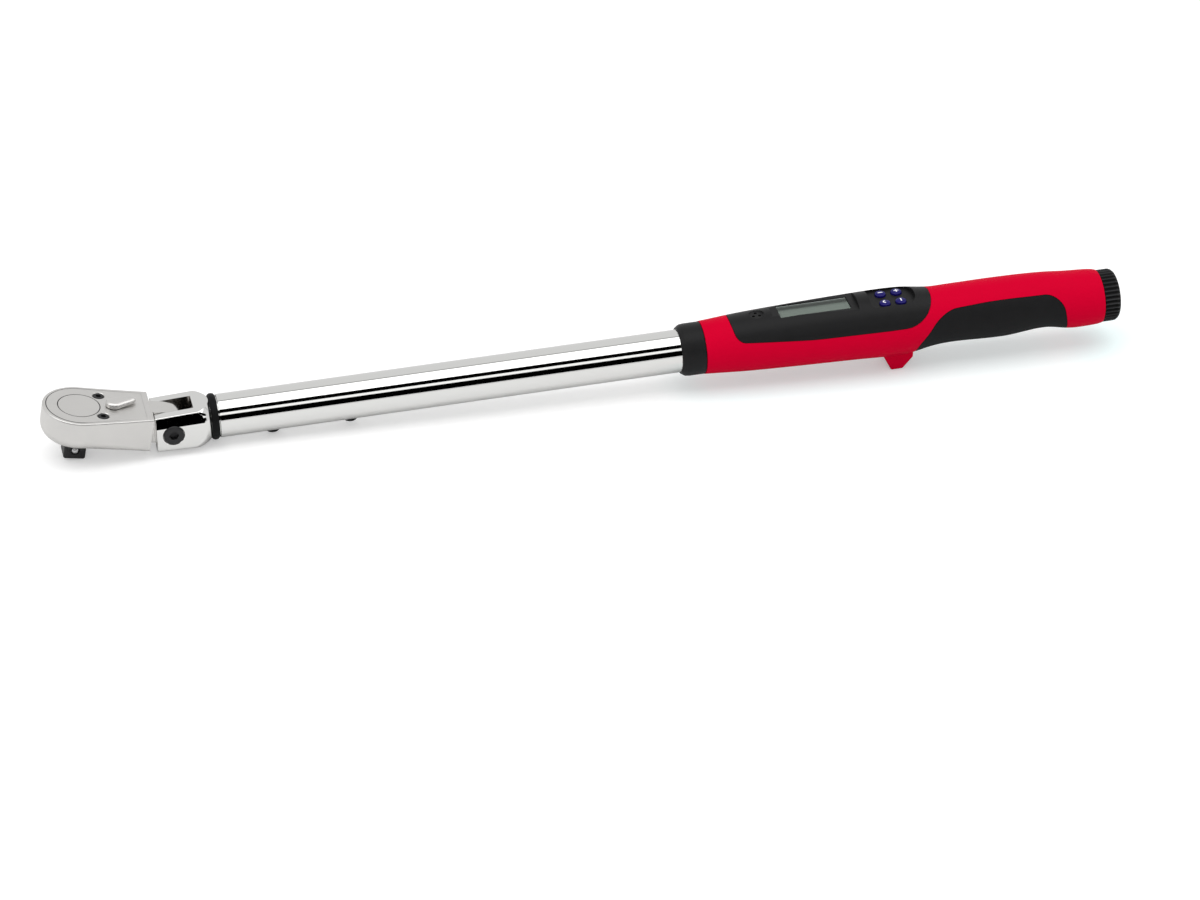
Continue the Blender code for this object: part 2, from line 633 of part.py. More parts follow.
def reverser_lever():
    """Lever, boss and shaft, drawn with the arm along +X of the turned lever axis."""
    base = HEAD_TOP + HEAD_SHOULDER_RISE + GAP
    top = base + LEVER_HEIGHT
    tip = (LEVER_ARM - LEVER_TIP_RADIUS, 0)
    outline = arc((0, 0), LEVER_BOSS_RADIUS, math.radians(60), math.radians(300), 14)
    outline += arc(tip, LEVER_TIP_RADIUS, math.radians(-70), math.radians(70), 6)
    lever = plate("reverser_lever", outline, base, top, LEVER_AXIS, SATIN)
    rounded(lever, 0.8 * mm, 2)
    shaft = rod("lever_shaft", LEVER_SHAFT_RADIUS, GEAR_BOTTOM, base + mm, LEVER_AXIS)
    combine(lever, shaft, "UNION")
    reach = LEVER_SHAFT_RADIUS + NOTCH_DEPTH - GAP
    bore = rod(
        "plunger_bore", PLUNGER_RADIUS + GAP / 2, reach - PLUNGER_LENGTH - GAP / 2 - 2.4 * mm, reach,
        LEVER_AXIS, None, 12, rotation=ALONG_X,
    )
    combine(lever, bore)
    section = [(0, reach), (PLUNGER_RADIUS * 0.5, reach), (PLUNGER_RADIUS, reach - 0.5 * mm)]
    section += [(PLUNGER_RADIUS, reach - PLUNGER_LENGTH), (0, reach - PLUNGER_LENGTH)]
    turned("detent_plunger", section, LEVER_AXIS, BRIGHT_STEEL, 12, rotation=ALONG_X)
    wire_radius = 0.2 * mm
    radius = PLUNGER_RADIUS - wire_radius
    back = reach - PLUNGER_LENGTH
    points = coil(radius, radius, back - 2.3 * mm + wire_radius, back - wire_radius - GAP / 2, 3)
    wire("detent_spring", points, wire_radius, LEVER_AXIS, BRIGHT_STEEL)


def pawl():
    """A rocker on the lever's shaft whose two toothed flanks are cut by the gear itself."""
    bore = LEVER_SHAFT_RADIUS + GAP
    back = LEVER_SHAFT_RADIUS + PAWL_WALL + GAP
    front = -LEVER_OFFSET + GEAR_RADIUS * 0.7
    outline = [(front, -PAWL_HALF_WIDTH), (-3.5 * mm, -PAWL_HALF_WIDTH)]
    outline += arc((0, 0), back, -math.pi / 2, math.pi / 2, 12)
    outline += [(-3.5 * mm, PAWL_HALF_WIDTH), (front, PAWL_HALF_WIDTH)]
    made = plate("pawl", outline, GEAR_BOTTOM, GEAR_TOP, PAWL_AXIS, BLACK_STEEL)
    for side, label in ((1, "left"), (-1, "right")):
        turn = side * PAWL_SWING
        place = (-LEVER_OFFSET * math.cos(turn), LEVER_OFFSET * math.sin(turn), 0)
        teeth = plate("gear_print_" + label, gear_outline(TOOTH_GAP), CHAMBER_BOTTOM, HEAD_TOP, PAWL_AXIS)
        teeth.location = place
        teeth.rotation_euler = (0, 0, -turn)
        combine(made, teeth)
    for share in (-2, -1, 0, 1, 2):
        turn = share * PAWL_SWING / 3
        place = (-LEVER_OFFSET * math.cos(turn), LEVER_OFFSET * math.sin(turn), 0)
        label = "rocking_relief_" + str(share + 3)
        relief = rod(label, GEAR_RADIUS + GAP / 2, CHAMBER_BOTTOM, HEAD_TOP, PAWL_AXIS, None, 48, place)
        combine(made, relief)
    combine(made, rod("shaft_bore", bore, CHAMBER_BOTTOM, HEAD_TOP, PAWL_AXIS))
    notch = [(0, 0)] + arc((0, 0), LEVER_SHAFT_RADIUS + NOTCH_DEPTH, -math.radians(40), math.radians(40), 8)
    wide = PLUNGER_RADIUS + GAP
    return combine(made, plate("plunger_notch", notch, -wide, wide, PAWL_AXIS))


def friction_washers():
    for side, label in ((-1, "right"), (1, "left")):
        inner = TONGUE_THICKNESS / 2 - WASHER_THICKNESS + GAP / 2
        outer = TONGUE_THICKNESS / 2
        low, high = sorted((side * inner, side * outer))
        wide = WASHER_DIAMETER / 2
        bore = PIVOT_SHANK_RADIUS + GAP
        section = [(wide, high), (wide, low), (bore, low), (bore, high)]
        turned("friction_washer_" + label, section, HEAD, BRIGHT_STEEL, 20, True, rotation=ALONG_Y)


# Yoke, tube and beam

def flex_yoke():
    half = YOKE_WIDTH / 2
    low = (-YOKE_FORWARD, -half, -YOKE_HEIGHT / 2)
    high = (YOKE_REAR, half, YOKE_HEIGHT / 2)
    yoke = box("flex_yoke", low, high, TOOL, CHROME)
    for vertex in yoke.data.vertices:
        if vertex.co.x > 0:
            vertex.co.z *= YOKE_REAR_HEIGHT / YOKE_HEIGHT
    rounded(yoke, YOKE_EDGE_ROUND, 3)
    neck_end = TUBE_START - GAP
    section = [(0, SPIGOT_END), (BOSS_RADIUS, SPIGOT_END), (BOSS_RADIUS, neck_end), (NECK_RADIUS, neck_end)]
    section += [(NECK_RADIUS, YOKE_WINDOW + 2 * mm), (0, YOKE_WINDOW + 2 * mm)]
    combine(yoke, turned("spigot", section, TOOL, None, 28, rotation=ALONG_X), "UNION")
    stud = rod(
        "stud_bore", BEAM_STUD_RADIUS + GAP, BEAM_START - BEAM_STUD_LENGTH - GAP, SPIGOT_END + mm, TOOL,
        rotation=ALONG_X,
    )
    combine(yoke, stud)
    slot_half = TONGUE_THICKNESS / 2 + GAP
    corners = [(-YOKE_FORWARD - 5 * mm, -slot_half), (YOKE_WINDOW, -slot_half)]
    corners += [(YOKE_WINDOW, slot_half), (-YOKE_FORWARD - 5 * mm, slot_half)]
    slot = filleted(corners, (0, 1.5 * mm, 1.5 * mm, 0), 3)
    combine(yoke, plate("tongue_slot", slot, -YOKE_HEIGHT, YOKE_HEIGHT, TOOL))
    head_seat = -half - PIVOT_PROUD + PIVOT_HEAD_DEPTH + GAP
    screw_end = half - PIVOT_FAR_WALL
    head = PIVOT_HEAD_RADIUS + GAP
    shank = PIVOT_SHANK_RADIUS + GAP
    section = [(0, screw_end), (shank, screw_end), (shank, head_seat), (head, head_seat)]
    section += [(head, -half - 2 * mm), (0, -half - 2 * mm)]
    return combine(yoke, turned("pivot_hole", section, TOOL, None, 24, rotation=ALONG_Y))


def pivot_screw():
    half = YOKE_WIDTH / 2
    face = -half - PIVOT_PROUD
    seat = face + PIVOT_HEAD_DEPTH
    end = half - PIVOT_FAR_WALL - GAP
    head = PIVOT_HEAD_RADIUS
    shank = PIVOT_SHANK_RADIUS
    section = [(0, end), (shank, end), (shank, seat), (head, seat), (head, face + 0.6 * mm)]
    section += [(head - 0.6 * mm, face), (0, face)]
    screw = turned("pivot_screw", section, TOOL, BLACK_STEEL, 20, rotation=ALONG_Y)
    socket = hex_socket("pivot_hex", PIVOT_HEX, face - mm, face + 2.2 * mm, TOOL, rotation=ALONG_Y)
    return combine(screw, socket)


def dust_seal():
    outer = SEAL_DIAMETER / 2
    inner = NECK_RADIUS + GAP
    soft = SEAL_WIDTH * 0.3
    end = SEAL_START + SEAL_WIDTH
    section = [(inner, end), (outer - soft / 2, end), (outer, end - soft), (outer, SEAL_START + soft)]
    section += [(outer - soft / 2, SEAL_START), (inner, SEAL_START)]
    turned("dust_seal", section, TOOL, RUBBER, 24, True, rotation=ALONG_X)


def lever_tube():
    section = [(TUBE_RADIUS, TUBE_END), (TUBE_RADIUS, TUBE_START)]
    section += [(TUBE_BORE, TUBE_START), (TUBE_BORE, TUBE_END)]
    tube = turned("lever_tube", section, TOOL, CHROME, 36, True, rotation=ALONG_X)
    for place, label in zip(TUBE_SCREWS, ("front", "rear")):
        hole = TUBE_SCREW_SHANK / 2 + GAP
        combine(tube, rod("tube_hole_" + label, hole, -TUBE_DIAMETER, 0, TOOL, None, 12, (place, 0, 0)))
    top = (TROUGH_END, TUBE_DIAMETER, TUBE_DIAMETER)
    return combine(tube, box("trough", (TROUGH_START, -TUBE_DIAMETER, TROUGH_Z), top, TOOL))


def torque_beam():
    """The measuring beam: two round bosses and a slim middle that carries the gauges."""
    stud_start = BEAM_START - BEAM_STUD_LENGTH
    section = [(0, BEAM_END), (BOSS_RADIUS, BEAM_END), (BOSS_RADIUS, BEAM_START)]
    section += [(BEAM_STUD_RADIUS, BEAM_START), (BEAM_STUD_RADIUS, stud_start), (0, stud_start)]
    beam = turned("torque_beam", section, TOOL, BRIGHT_STEEL, 24, rotation=ALONG_X)
    width = BEAM_GAUGE_WIDTH / 2
    height = BEAM_GAUGE_HEIGHT / 2
    for side, label in ((-1, "right"), (1, "left")):
        low, high = sorted((side * width, side * TUBE_DIAMETER))
        corner = (BEAM_GAUGE_END, high, TUBE_DIAMETER)
        combine(beam, box("beam_flat_" + label, (BEAM_GAUGE_START, low, -TUBE_DIAMETER), corner, TOOL))
        low, high = sorted((side * height, side * TUBE_DIAMETER))
        corner = (BEAM_GAUGE_END, TUBE_DIAMETER, high)
        combine(beam, box("beam_edge_" + label, (BEAM_GAUGE_START, -TUBE_DIAMETER, low), corner, TOOL))
    for place, label in zip(TUBE_SCREWS, ("front", "rear")):
        top = -TUBE_RADIUS + TUBE_SCREW_LENGTH + GAP
        hole = TUBE_SCREW_SHANK / 2 + GAP
        combine(beam, rod("beam_tap_" + label, hole, -TUBE_RADIUS, top, TOOL, None, 12, (place, 0, 0)))
    half = CABLE_GROOVE / 2
    low = (BEAM_GAUGE_END - mm, -half, CABLE_HEIGHT - half)
    return combine(beam, box("cable_groove", low, (BEAM_END + mm, half, TUBE_DIAMETER), TOOL))


def strain_gauges():
    middle = (BEAM_GAUGE_START + BEAM_GAUGE_END) / 2
    for side, label in ((-1, "right"), (1, "left")):
        inner = BEAM_GAUGE_WIDTH / 2 + GAP
        low, high = sorted((side * inner, side * (inner + GAUGE_THICKNESS)))
        first = (middle - GAUGE_LENGTH / 2, low, -GAUGE_HEIGHT / 2)
        last = (middle + GAUGE_LENGTH / 2, high, GAUGE_HEIGHT / 2)
        box("strain_gauge_" + label, first, last, TOOL, FOIL)


def gauge_cable():
    """The gauges' lead, up from the left gauge, over the beam's rear boss and back to the board."""
    middle = (BEAM_GAUGE_START + BEAM_GAUGE_END) / 2 + GAUGE_LENGTH / 2
    side = BEAM_GAUGE_WIDTH / 2 + CABLE_DIAMETER / 2 + GAP
    edge = BEAM_GAUGE_HEIGHT / 2
    route = [
        Vector((middle + GAP, side, 0)),
        Vector((middle + 2.5 * mm, side + 0.2 * mm, 1.5 * mm)),
        Vector((BEAM_GAUGE_END - 9 * mm, side + 0.2 * mm, edge - 0.5 * mm)),
        Vector((BEAM_GAUGE_END - 6 * mm, side - mm, edge + 1.9 * mm)),
        Vector((BEAM_GAUGE_END - 2 * mm, 0.4 * mm, CABLE_HEIGHT)),
        Vector((BEAM_GAUGE_END + 4 * mm, 0, CABLE_HEIGHT)),
        Vector((BEAM_END + 20 * mm, 0, CABLE_HEIGHT)),
        Vector(((BEAM_END + TROUGH_START) / 2, 0, CABLE_HEIGHT - mm)),
        Vector((TROUGH_START - 12 * mm, 0, CABLE_HEIGHT - mm)),
        Vector((BOARD_START + PLUG_SETBACK - GAP, 0, CABLE_HEIGHT - 1.3 * mm)),
    ]
    points = []
    for i in range(len(route) - 1):
        before = route[max(i - 1, 0)]
        after = route[min(i + 2, len(route) - 1)]
        steps = 5 if i in (5, 6, 7) else 2
        for step in range(steps):
            points.append(smooth_step(before, route[i], route[i + 1], after, step / steps))
    points.append(route[-1])
    wire("gauge_cable", points, CABLE_DIAMETER / 2, TOOL, BLACK_PLASTIC, 1)


def smooth_step(before, start, end, after, share):
    """A point between start and end on the smooth curve through all four."""
    span = (end - start).length
    into = (end - before).normalized() * span
    out = (after - start).normalized() * span
    a = 2 * share**3 - 3 * share**2 + 1
    b = share**3 - 2 * share**2 + share
    c = share**3 - share**2
    return a * start + b * into + (1 - a) * end + c * out


def tube_screws():
    for place, label in zip(TUBE_SCREWS, ("front", "rear")):
        seat = -TUBE_RADIUS - GAP
        face = seat - TUBE_SCREW_HEAD_DEPTH
        end = -TUBE_RADIUS + TUBE_SCREW_LENGTH
        head = TUBE_SCREW_HEAD / 2
        shank = TUBE_SCREW_SHANK / 2
        section = [(0, end), (shank, end), (shank, seat), (head, seat), (head, face + 0.5 * mm)]
        section += [(head - 0.6 * mm, face), (0, face)]
        screw = turned("tube_screw_" + label, section, TOOL, BLACK_STEEL, 16, False, (place, 0, 0))
        socket = hex_socket("tube_hex_" + label, 2.5 * mm, face - mm, face + 0.9 * mm, TOOL, (place, 0, 0))
        combine(screw, socket)


# Handle

def handle_section(x, offset=0.0):
    """Radius and centre height of the handle at x, smooth through the driving sections."""
    place = min(max(x, HANDLE_START), HANDLE_END)
    last = len(HANDLE_SECTIONS) - 2
    index = max(i for i in range(last + 1) if HANDLE_SECTIONS[i][0] <= place)
    near = [HANDLE_SECTIONS[max(index - 1, 0)], HANDLE_SECTIONS[index], HANDLE_SECTIONS[index + 1]]
    near.append(HANDLE_SECTIONS[min(index + 2, last + 1)])
    width = near[2][0] - near[1][0]
    t = (place - near[1][0]) / width
    values = []
    for column in (1, 2):
        start, end = near[1][column], near[2][column]
        into = (end - near[0][column]) / (near[2][0] - near[0][0]) * width
        out = (near[3][column] - start) / (near[3][0] - near[1][0]) * width
        rise = (2 * t**3 - 3 * t**2 + 1) * start + (t**3 - 2 * t**2 + t) * into
        values.append(rise + (3 * t**2 - 2 * t**3) * end + (t**3 - t**2) * out)
    return TUBE_RADIUS + values[0] + offset, -values[1]


def handle_loft(name, start, end, offset=0.0, finish=None, stations=HANDLE_STATIONS, sides=HANDLE_SIDES):
    """The handle's outer form between two places, grown or shrunk by the offset."""
    mesh = bpy.data.meshes.new(name)
    shape = bmesh.new()
    rings = []
    for i in range(stations + 1):
        x = start + (end - start) * i / stations
        radius, height = handle_section(x, offset)
        place = Matrix.Translation((x, 0, height)) @ Matrix.Rotation(math.pi / 2, 4, "Y")
        made = bmesh.ops.create_circle(shape, segments=sides, radius=radius, matrix=place)
        rings.append(made["verts"])
    shape.edges.ensure_lookup_table()
    for first, second in zip(rings, rings[1:]):
        edges = {e for v in first + second for e in v.link_edges}
        edges = [e for e in edges if all(v in first for v in e.verts) or all(v in second for v in e.verts)]
        bmesh.ops.bridge_loops(shape, edges=edges)
    shape.faces.new(rings[0])
    shape.faces.new(rings[-1])
    bmesh.ops.recalc_face_normals(shape, faces=shape.faces)
    shape.to_mesh(mesh)
    shape.free()
    return piece(name, mesh, TOOL, finish)


def side_prism(name, corners, radii, half_width):
    """A side-view outline carried across the whole width, used to split the handle's skin."""
    return plate(name, filleted(corners, radii, 6), -half_width, half_width, TOOL, rotation=SIDE_VIEW)


def panel_prism(name, grown=0.0):
    corners = [
        (PANEL_X - grown - 2 * mm, BEYOND),
        (PANEL_X - grown + PANEL_FRONT_SLOPE, PANEL_FRONT_Z - grown),
        (PANEL_END + grown, PANEL_REAR_Z - grown),
        (PANEL_END + grown, BEYOND),
    ]
    return side_prism(name, corners, (0, 7 * mm, 12 * mm, 0), BEYOND)


def grip_prism(name, grown=0.0):
    start = GRIP_START - grown
    end = GRIP_END + grown
    bottom = -TUBE_RADIUS - 5 * mm
    slope = GRIP_SLOPE / (GRIP_TOP - bottom)
    corners = [
        (start - (BEYOND + bottom) * slope, -BEYOND),
        (start + GRIP_SLOPE, GRIP_TOP + grown),
        (end, GRIP_TOP + grown),
        (end, -BEYOND),
    ]
    return side_prism(name, corners, (0, 14 * mm, 9 * mm, 0), BEYOND)


def tube_passage(name):
    low = HANDLE_START - 5 * mm
    return rod(name, TUBE_RADIUS + GAP, low, TUBE_END + GAP, TOOL, None, 28, rotation=ALONG_X)


def tube_collar():
    outer = COLLAR_DIAMETER / 2
    inner = TUBE_RADIUS + GAP
    end = COLLAR_START + COLLAR_LENGTH
    section = [(inner, end), (outer, end), (outer, COLLAR_START + 2 * COLLAR_CHAMFER)]
    section += [(outer - 0.3 * COLLAR_CHAMFER, COLLAR_START + COLLAR_CHAMFER)]
    section += [(outer - COLLAR_CHAMFER, COLLAR_START), (inner, COLLAR_START)]
    turned("tube_collar", section, TOOL, BLACK_PLASTIC, 28, True, rotation=ALONG_X)


def handle_housing():
    """The red moulding: skin, hand stop, seats for panel and grip, tube passage and battery mouth."""
    body = handle_loft("handle_housing", HANDLE_START, HANDLE_END, 0, RED_PLASTIC)
    start = STOP_START
    end = start + STOP_LENGTH
    tip = start + (STOP_LENGTH - STOP_TIP_LENGTH) / 3
    corners = [(start, 0), (start, -TUBE_RADIUS - 6 * mm), (tip, -STOP_DROP)]
    corners += [(tip + STOP_TIP_LENGTH, -STOP_DROP), (end, -TUBE_RADIUS - 5 * mm), (end, 0)]
    half = STOP_WIDTH / 2
    stop = plate("hand_stop", corners, -half, half, TOOL, rotation=SIDE_VIEW)
    rounded(stop, 1.2 * mm, 2)
    combine(body, stop, "UNION")
    combine(body, panel_prism("panel_seat", GAP))
    seat = grip_prism("grip_seat", GAP)
    combine(seat, grip_loft("grip_core", -GRIP_THICKNESS - GAP))
    combine(body, seat)
    combine(body, tube_passage("handle_bore"))
    low = (CAVITY_START, -TUBE_RADIUS - GAP, TROUGH_Z)
    combine(body, box("board_well", low, (CAVITY_END, TUBE_RADIUS + GAP, BEYOND), TOOL))
    mouth = CAP_PLUG_END - GAP
    plug = CAP_PLUG_RADIUS + GAP
    seal = CAP_PLUG_RADIUS + 2 * CAP_SEAL_MINOR + 2 * GAP
    seal_floor = HANDLE_END - 2 * CAP_SEAL_MINOR - 2 * GAP
    battery = BATTERY_DIAMETER / 2 + 2 * GAP
    section = [(0, HANDLE_END + mm), (seal, HANDLE_END + mm), (seal, seal_floor), (plug, seal_floor)]
    section += [(plug, mouth), (battery, mouth), (battery, TUBE_END - mm), (0, TUBE_END - mm)]
    place = (0, 0, -BATTERY_DROP)
    return combine(body, turned("battery_mouth", section, TOOL, None, 24, False, place, ALONG_X))


def grip_loft(name, offset, finish=None):
    """The handle's form along the grip, the same facets at every offset so that layers nest."""
    return handle_loft(name, GRIP_START - GRIP_SLOPE, GRIP_END + 5 * mm, offset, finish, 9)


def grip_insert():
    grip = grip_loft("grip_insert", 0, SOFT_RUBBER)
    combine(grip, grip_prism("grip_outline"), "INTERSECT")
    return combine(grip, grip_loft("grip_hollow", -GRIP_THICKNESS))


def display_panel():
    """The black moulding on top: deck, display window, sound holes and button pocket."""
    panel = handle_loft("display_panel", PANEL_X - 3 * mm, PANEL_END + 3 * mm, 0, BLACK_PLASTIC, 9)
    combine(panel, panel_prism("panel_outline"), "INTERSECT")
    cavity = handle_loft("panel_cavity", CAVITY_START, CAVITY_END, -PANEL_WALL, None, 6, 20)
    low = (CAVITY_START - mm, -BEYOND, PANEL_ROOF)
    combine(cavity, box("panel_roof", low, (CAVITY_END + mm, BEYOND, BEYOND), TOOL))
    combine(panel, cavity)
    combine(panel, tube_passage("panel_bore"))
    end = DISPLAY_END + DECK_MARGIN
    start = DISPLAY_X - DECK_MARGIN
    corners = [(start, DECK_Z + DECK_TILT), (end, DECK_Z), (end + 2 * mm, BEYOND), (start, BEYOND)]
    combine(panel, side_prism("deck", corners, (0, 0, 0, 0), BEYOND))
    half = DISPLAY_WIDTH / 2
    lens_floor = DECK_Z - LENS_SUNK - LENS_THICKNESS - GAP
    combine(panel, box("lens_seat", (DISPLAY_X, -half, lens_floor), (DISPLAY_END, half, BEYOND), TOOL))
    low = (DISPLAY_X + DISPLAY_LEDGE, -half + DISPLAY_LEDGE, BOARD_TOP)
    high = (DISPLAY_END - DISPLAY_LEDGE, half - DISPLAY_LEDGE, BEYOND)
    combine(panel, box("display_window", low, high, TOOL))
    front = BUTTON_X - POCKET_HALF_LENGTH
    rear = BUTTON_X + POCKET_HALF_LENGTH
    wide = POCKET_HALF_WIDTH
    corners = [(front, -wide), (rear, -wide), (rear, wide), (front, wide)]
    pocket = filleted(corners, (3 * mm, 8 * mm, 8 * mm, 3 * mm), 5)
    combine(panel, plate("button_pocket", pocket, POCKET_FLOOR, BEYOND, TOOL))
    for place, label in button_places():
        hole = BUTTON_DIAMETER / 2 + GAP
        combine(panel, rod("hole_" + label, hole, BOARD_TOP, BEYOND, TOOL, None, 16, place))
    dish_floor = handle_section(BUZZER_X)[0] - BUZZER_DISH_DEPTH
    place = (BUZZER_X, 0, 0)
    combine(panel, rod("sound_dish", BUZZER_DISH_RADIUS, dish_floor, BEYOND, TOOL, None, 20, place))
    for i in range(3):
        angle = math.radians(90 + 120 * i)
        x = BUZZER_X + BUZZER_HOLE_CIRCLE * math.cos(angle)
        place = (x, BUZZER_HOLE_CIRCLE * math.sin(angle), 0)
        hole = rod("sound_hole_" + str(i + 1), BUZZER_HOLE_RADIUS, BOARD_TOP, BEYOND, TOOL, None, 10, place)
        combine(panel, hole)
    return panel


def button_places():
    along = BUTTON_PITCH_ALONG / 2
    across = BUTTON_PITCH_ACROSS / 2
    return (
        ((BUTTON_X - along, across, 0), "button_power"),
        ((BUTTON_X + along, across, 0), "button_plus"),
        ((BUTTON_X - along, -across, 0), "button_units"),
        ((BUTTON_X + along, -across, 0), "button_minus"),
    )


def switch_pad_top():
    return BOARD_TOP + GAP + 0.8 * mm


def buttons():
    low = switch_pad_top() + BUTTON_TRAVEL + GAP / 2
    radius = BUTTON_DIAMETER / 2
    flange = radius + BUTTON_FLANGE
    step = low + BUTTON_FLANGE_THICKNESS
    rim = POCKET_FLOOR + 0.9 * mm
    for place, label in button_places():
        section = [(0, rim + BUTTON_DOME), (radius * 0.6, rim + BUTTON_DOME * 0.7), (radius, rim - 0.2 * mm)]
        section += [(radius, step), (flange, step), (flange, low), (0, low)]
        turned(label, section, TOOL, BLUE_RUBBER, 16, False, place)


def electronics():
    half = BOARD_WIDTH / 2
    low = (BOARD_START, -half, BOARD_TOP - BOARD_THICKNESS)
    box("circuit_board", low, (BOARD_END, half, BOARD_TOP), TOOL, GREEN_BOARD)
    pad_half_long = (BUTTON_PITCH_ALONG + BUTTON_DIAMETER) / 2 + 1.5 * mm
    pad_half_wide = (BUTTON_PITCH_ACROSS + BUTTON_DIAMETER) / 2 + mm
    low = (BUTTON_X - pad_half_long, -pad_half_wide, BOARD_TOP + GAP)
    high = (BUTTON_X + pad_half_long, pad_half_wide, switch_pad_top())
    box("switch_pad", low, high, TOOL, RUBBER)
    half = DISPLAY_WIDTH / 2 + 0.7 * mm
    low = (DISPLAY_X - LCD_MARGIN, -half, BOARD_TOP + GAP)
    high = (DISPLAY_END + LCD_MARGIN, half, BOARD_TOP + GAP + LCD_THICKNESS)
    box("lcd_module", low, high, TOOL, LCD_GREY)
    half = DISPLAY_WIDTH / 2 - GAP
    top = DECK_Z - LENS_SUNK
    low = (DISPLAY_X + GAP, -half, top - LENS_THICKNESS)
    box("display_lens", low, (DISPLAY_END - GAP, half, top), TOOL, CLEAR)
    top = PANEL_ROOF - GAP
    rod("buzzer", BUZZER_RADIUS, top - BUZZER_THICKNESS, top, TOOL, BRASS, 24, (BUZZER_X, 0, 0))
    under = BOARD_TOP - BOARD_THICKNESS - GAP
    under_board = (
        ("cable_plug", PLUG_SETBACK, PLUG_SIZE, WHITE_PLASTIC),
        ("control_chip", CHIP_SETBACK, CHIP_SIZE, BLACK_PLASTIC),
    )
    for name, setback, size, finish in under_board:
        low = Vector((BOARD_START + setback, -size[1] / 2, under - size[2]))
        box(name, low, low + Vector(size), TOOL, finish)


def batteries():
    radius = BATTERY_DIAMETER / 2
    place = (0, 0, -BATTERY_DROP)
    for i in range(BATTERY_COUNT):
        start = BATTERY_START + i * (BATTERY_LENGTH + GAP)
        end = start + BATTERY_LENGTH
        shoulder = start + mm
        section = [(0, end), (radius - 0.5 * mm, end), (radius, end - 0.5 * mm), (radius, shoulder)]
        section += [(2.7 * mm, shoulder), (2.7 * mm, start), (0, start)]
        turned("battery_" + str(i + 1), section, TOOL, CELL, 16, False, place, ALONG_X)
    end = BATTERY_START - FRONT_SPRING_LENGTH - 2 * GAP
    start = end - CARRIER_LENGTH
    carrier = rod("contact_carrier", BOSS_RADIUS, start, end, TOOL, BLACK_PLASTIC, 24, rotation=ALONG_X)
    low = (start - mm, -TUBE_DIAMETER, TROUGH_Z - GAP)
    combine(carrier, box("carrier_flat", low, (end + mm, TUBE_DIAMETER, TUBE_DIAMETER), TOOL))
    wire_radius = 0.4 * mm
    low = end + GAP + wire_radius
    points = coil(5 * mm, 2.4 * mm, low, low + FRONT_SPRING_LENGTH - 2 * wire_radius, 3)
    spring = wire("front_spring", points, wire_radius, TOOL, BRIGHT_STEEL)
    spring.location = place


def battery_cap():
    """Ribbed end cap with its plug, seal and the sprung contact that it carries."""
    end = CAP_START + CAP_LENGTH
    radius = CAP_DIAMETER / 2
    step = math.pi / CAP_RIBS
    ribs = []
    for i in range(2 * CAP_RIBS):
        reach = radius - (CAP_RIB_DEPTH if i % 2 else 0)
        ribs.append((reach * math.cos(i * step), reach * math.sin(i * step)))
    cap = plate("battery_cap", ribs, CAP_START, end, CAP_AXIS, BLACK_PLASTIC, rotation=ALONG_X)
    soft = CAP_EDGE_ROUND
    dome = [(0, end)] + [
        (radius - soft + soft * math.sin(a), end - soft + soft * math.cos(a))
        for a in (0, math.radians(45))
    ]
    dome += [(radius + mm, end - soft * 1.2), (radius + mm, CAP_START - mm), (0, CAP_START - mm)]
    combine(cap, turned("cap_dome", dome, CAP_AXIS, None, 18, rotation=ALONG_X), "INTERSECT")
    plug = CAP_PLUG_RADIUS
    face = CAP_PLUG_END
    section = [(0, CAP_START + mm), (plug, CAP_START + mm), (plug, face), (0, face)]
    combine(cap, turned("cap_plug", section, CAP_AXIS, None, 24, rotation=ALONG_X), "UNION")
    cup = CAP_CUP_RADIUS
    floor = face + CAP_CUP_DEPTH
    pin_end = floor + CONTACT_PIN_LENGTH - 2.5 * mm
    pin = CONTACT_PIN_RADIUS + GAP
    section = [(0, pin_end), (pin, pin_end), (pin, floor), (cup, floor), (cup, face - mm), (0, face - mm)]
    combine(cap, turned("cap_cup", section, CAP_AXIS, None, 20, rotation=ALONG_X))
    middle = HANDLE_END - CAP_SEAL_MINOR - GAP
    ring = CAP_PLUG_RADIUS + GAP + CAP_SEAL_MINOR
    section = arc((ring, middle), CAP_SEAL_MINOR, math.pi / 2, -math.pi * 1.5, 5)[:-1]
    turned("cap_seal", section, CAP_AXIS, RUBBER, 16, True, rotation=ALONG_X)
    start = BATTERY_END + GAP
    back = start + CONTACT_THICKNESS
    section = [(0, pin_end - GAP), (CONTACT_PIN_RADIUS, pin_end - GAP), (CONTACT_PIN_RADIUS, back)]
    section += [(CONTACT_RADIUS, back), (CONTACT_RADIUS, start), (0, start)]
    turned("cap_contact", section, CAP_AXIS, BRASS, 18, rotation=ALONG_X)
    wire_radius = 0.4 * mm
    points = coil(4 * mm, 6 * mm, back + GAP + wire_radius, floor - GAP - wire_radius, 3)
    wire("cap_spring", points, wire_radius, CAP_AXIS, BRIGHT_STEEL)


clear_scene()
PARTS = collection("digital_torque_wrench")
CUTTERS = collection("cutters")

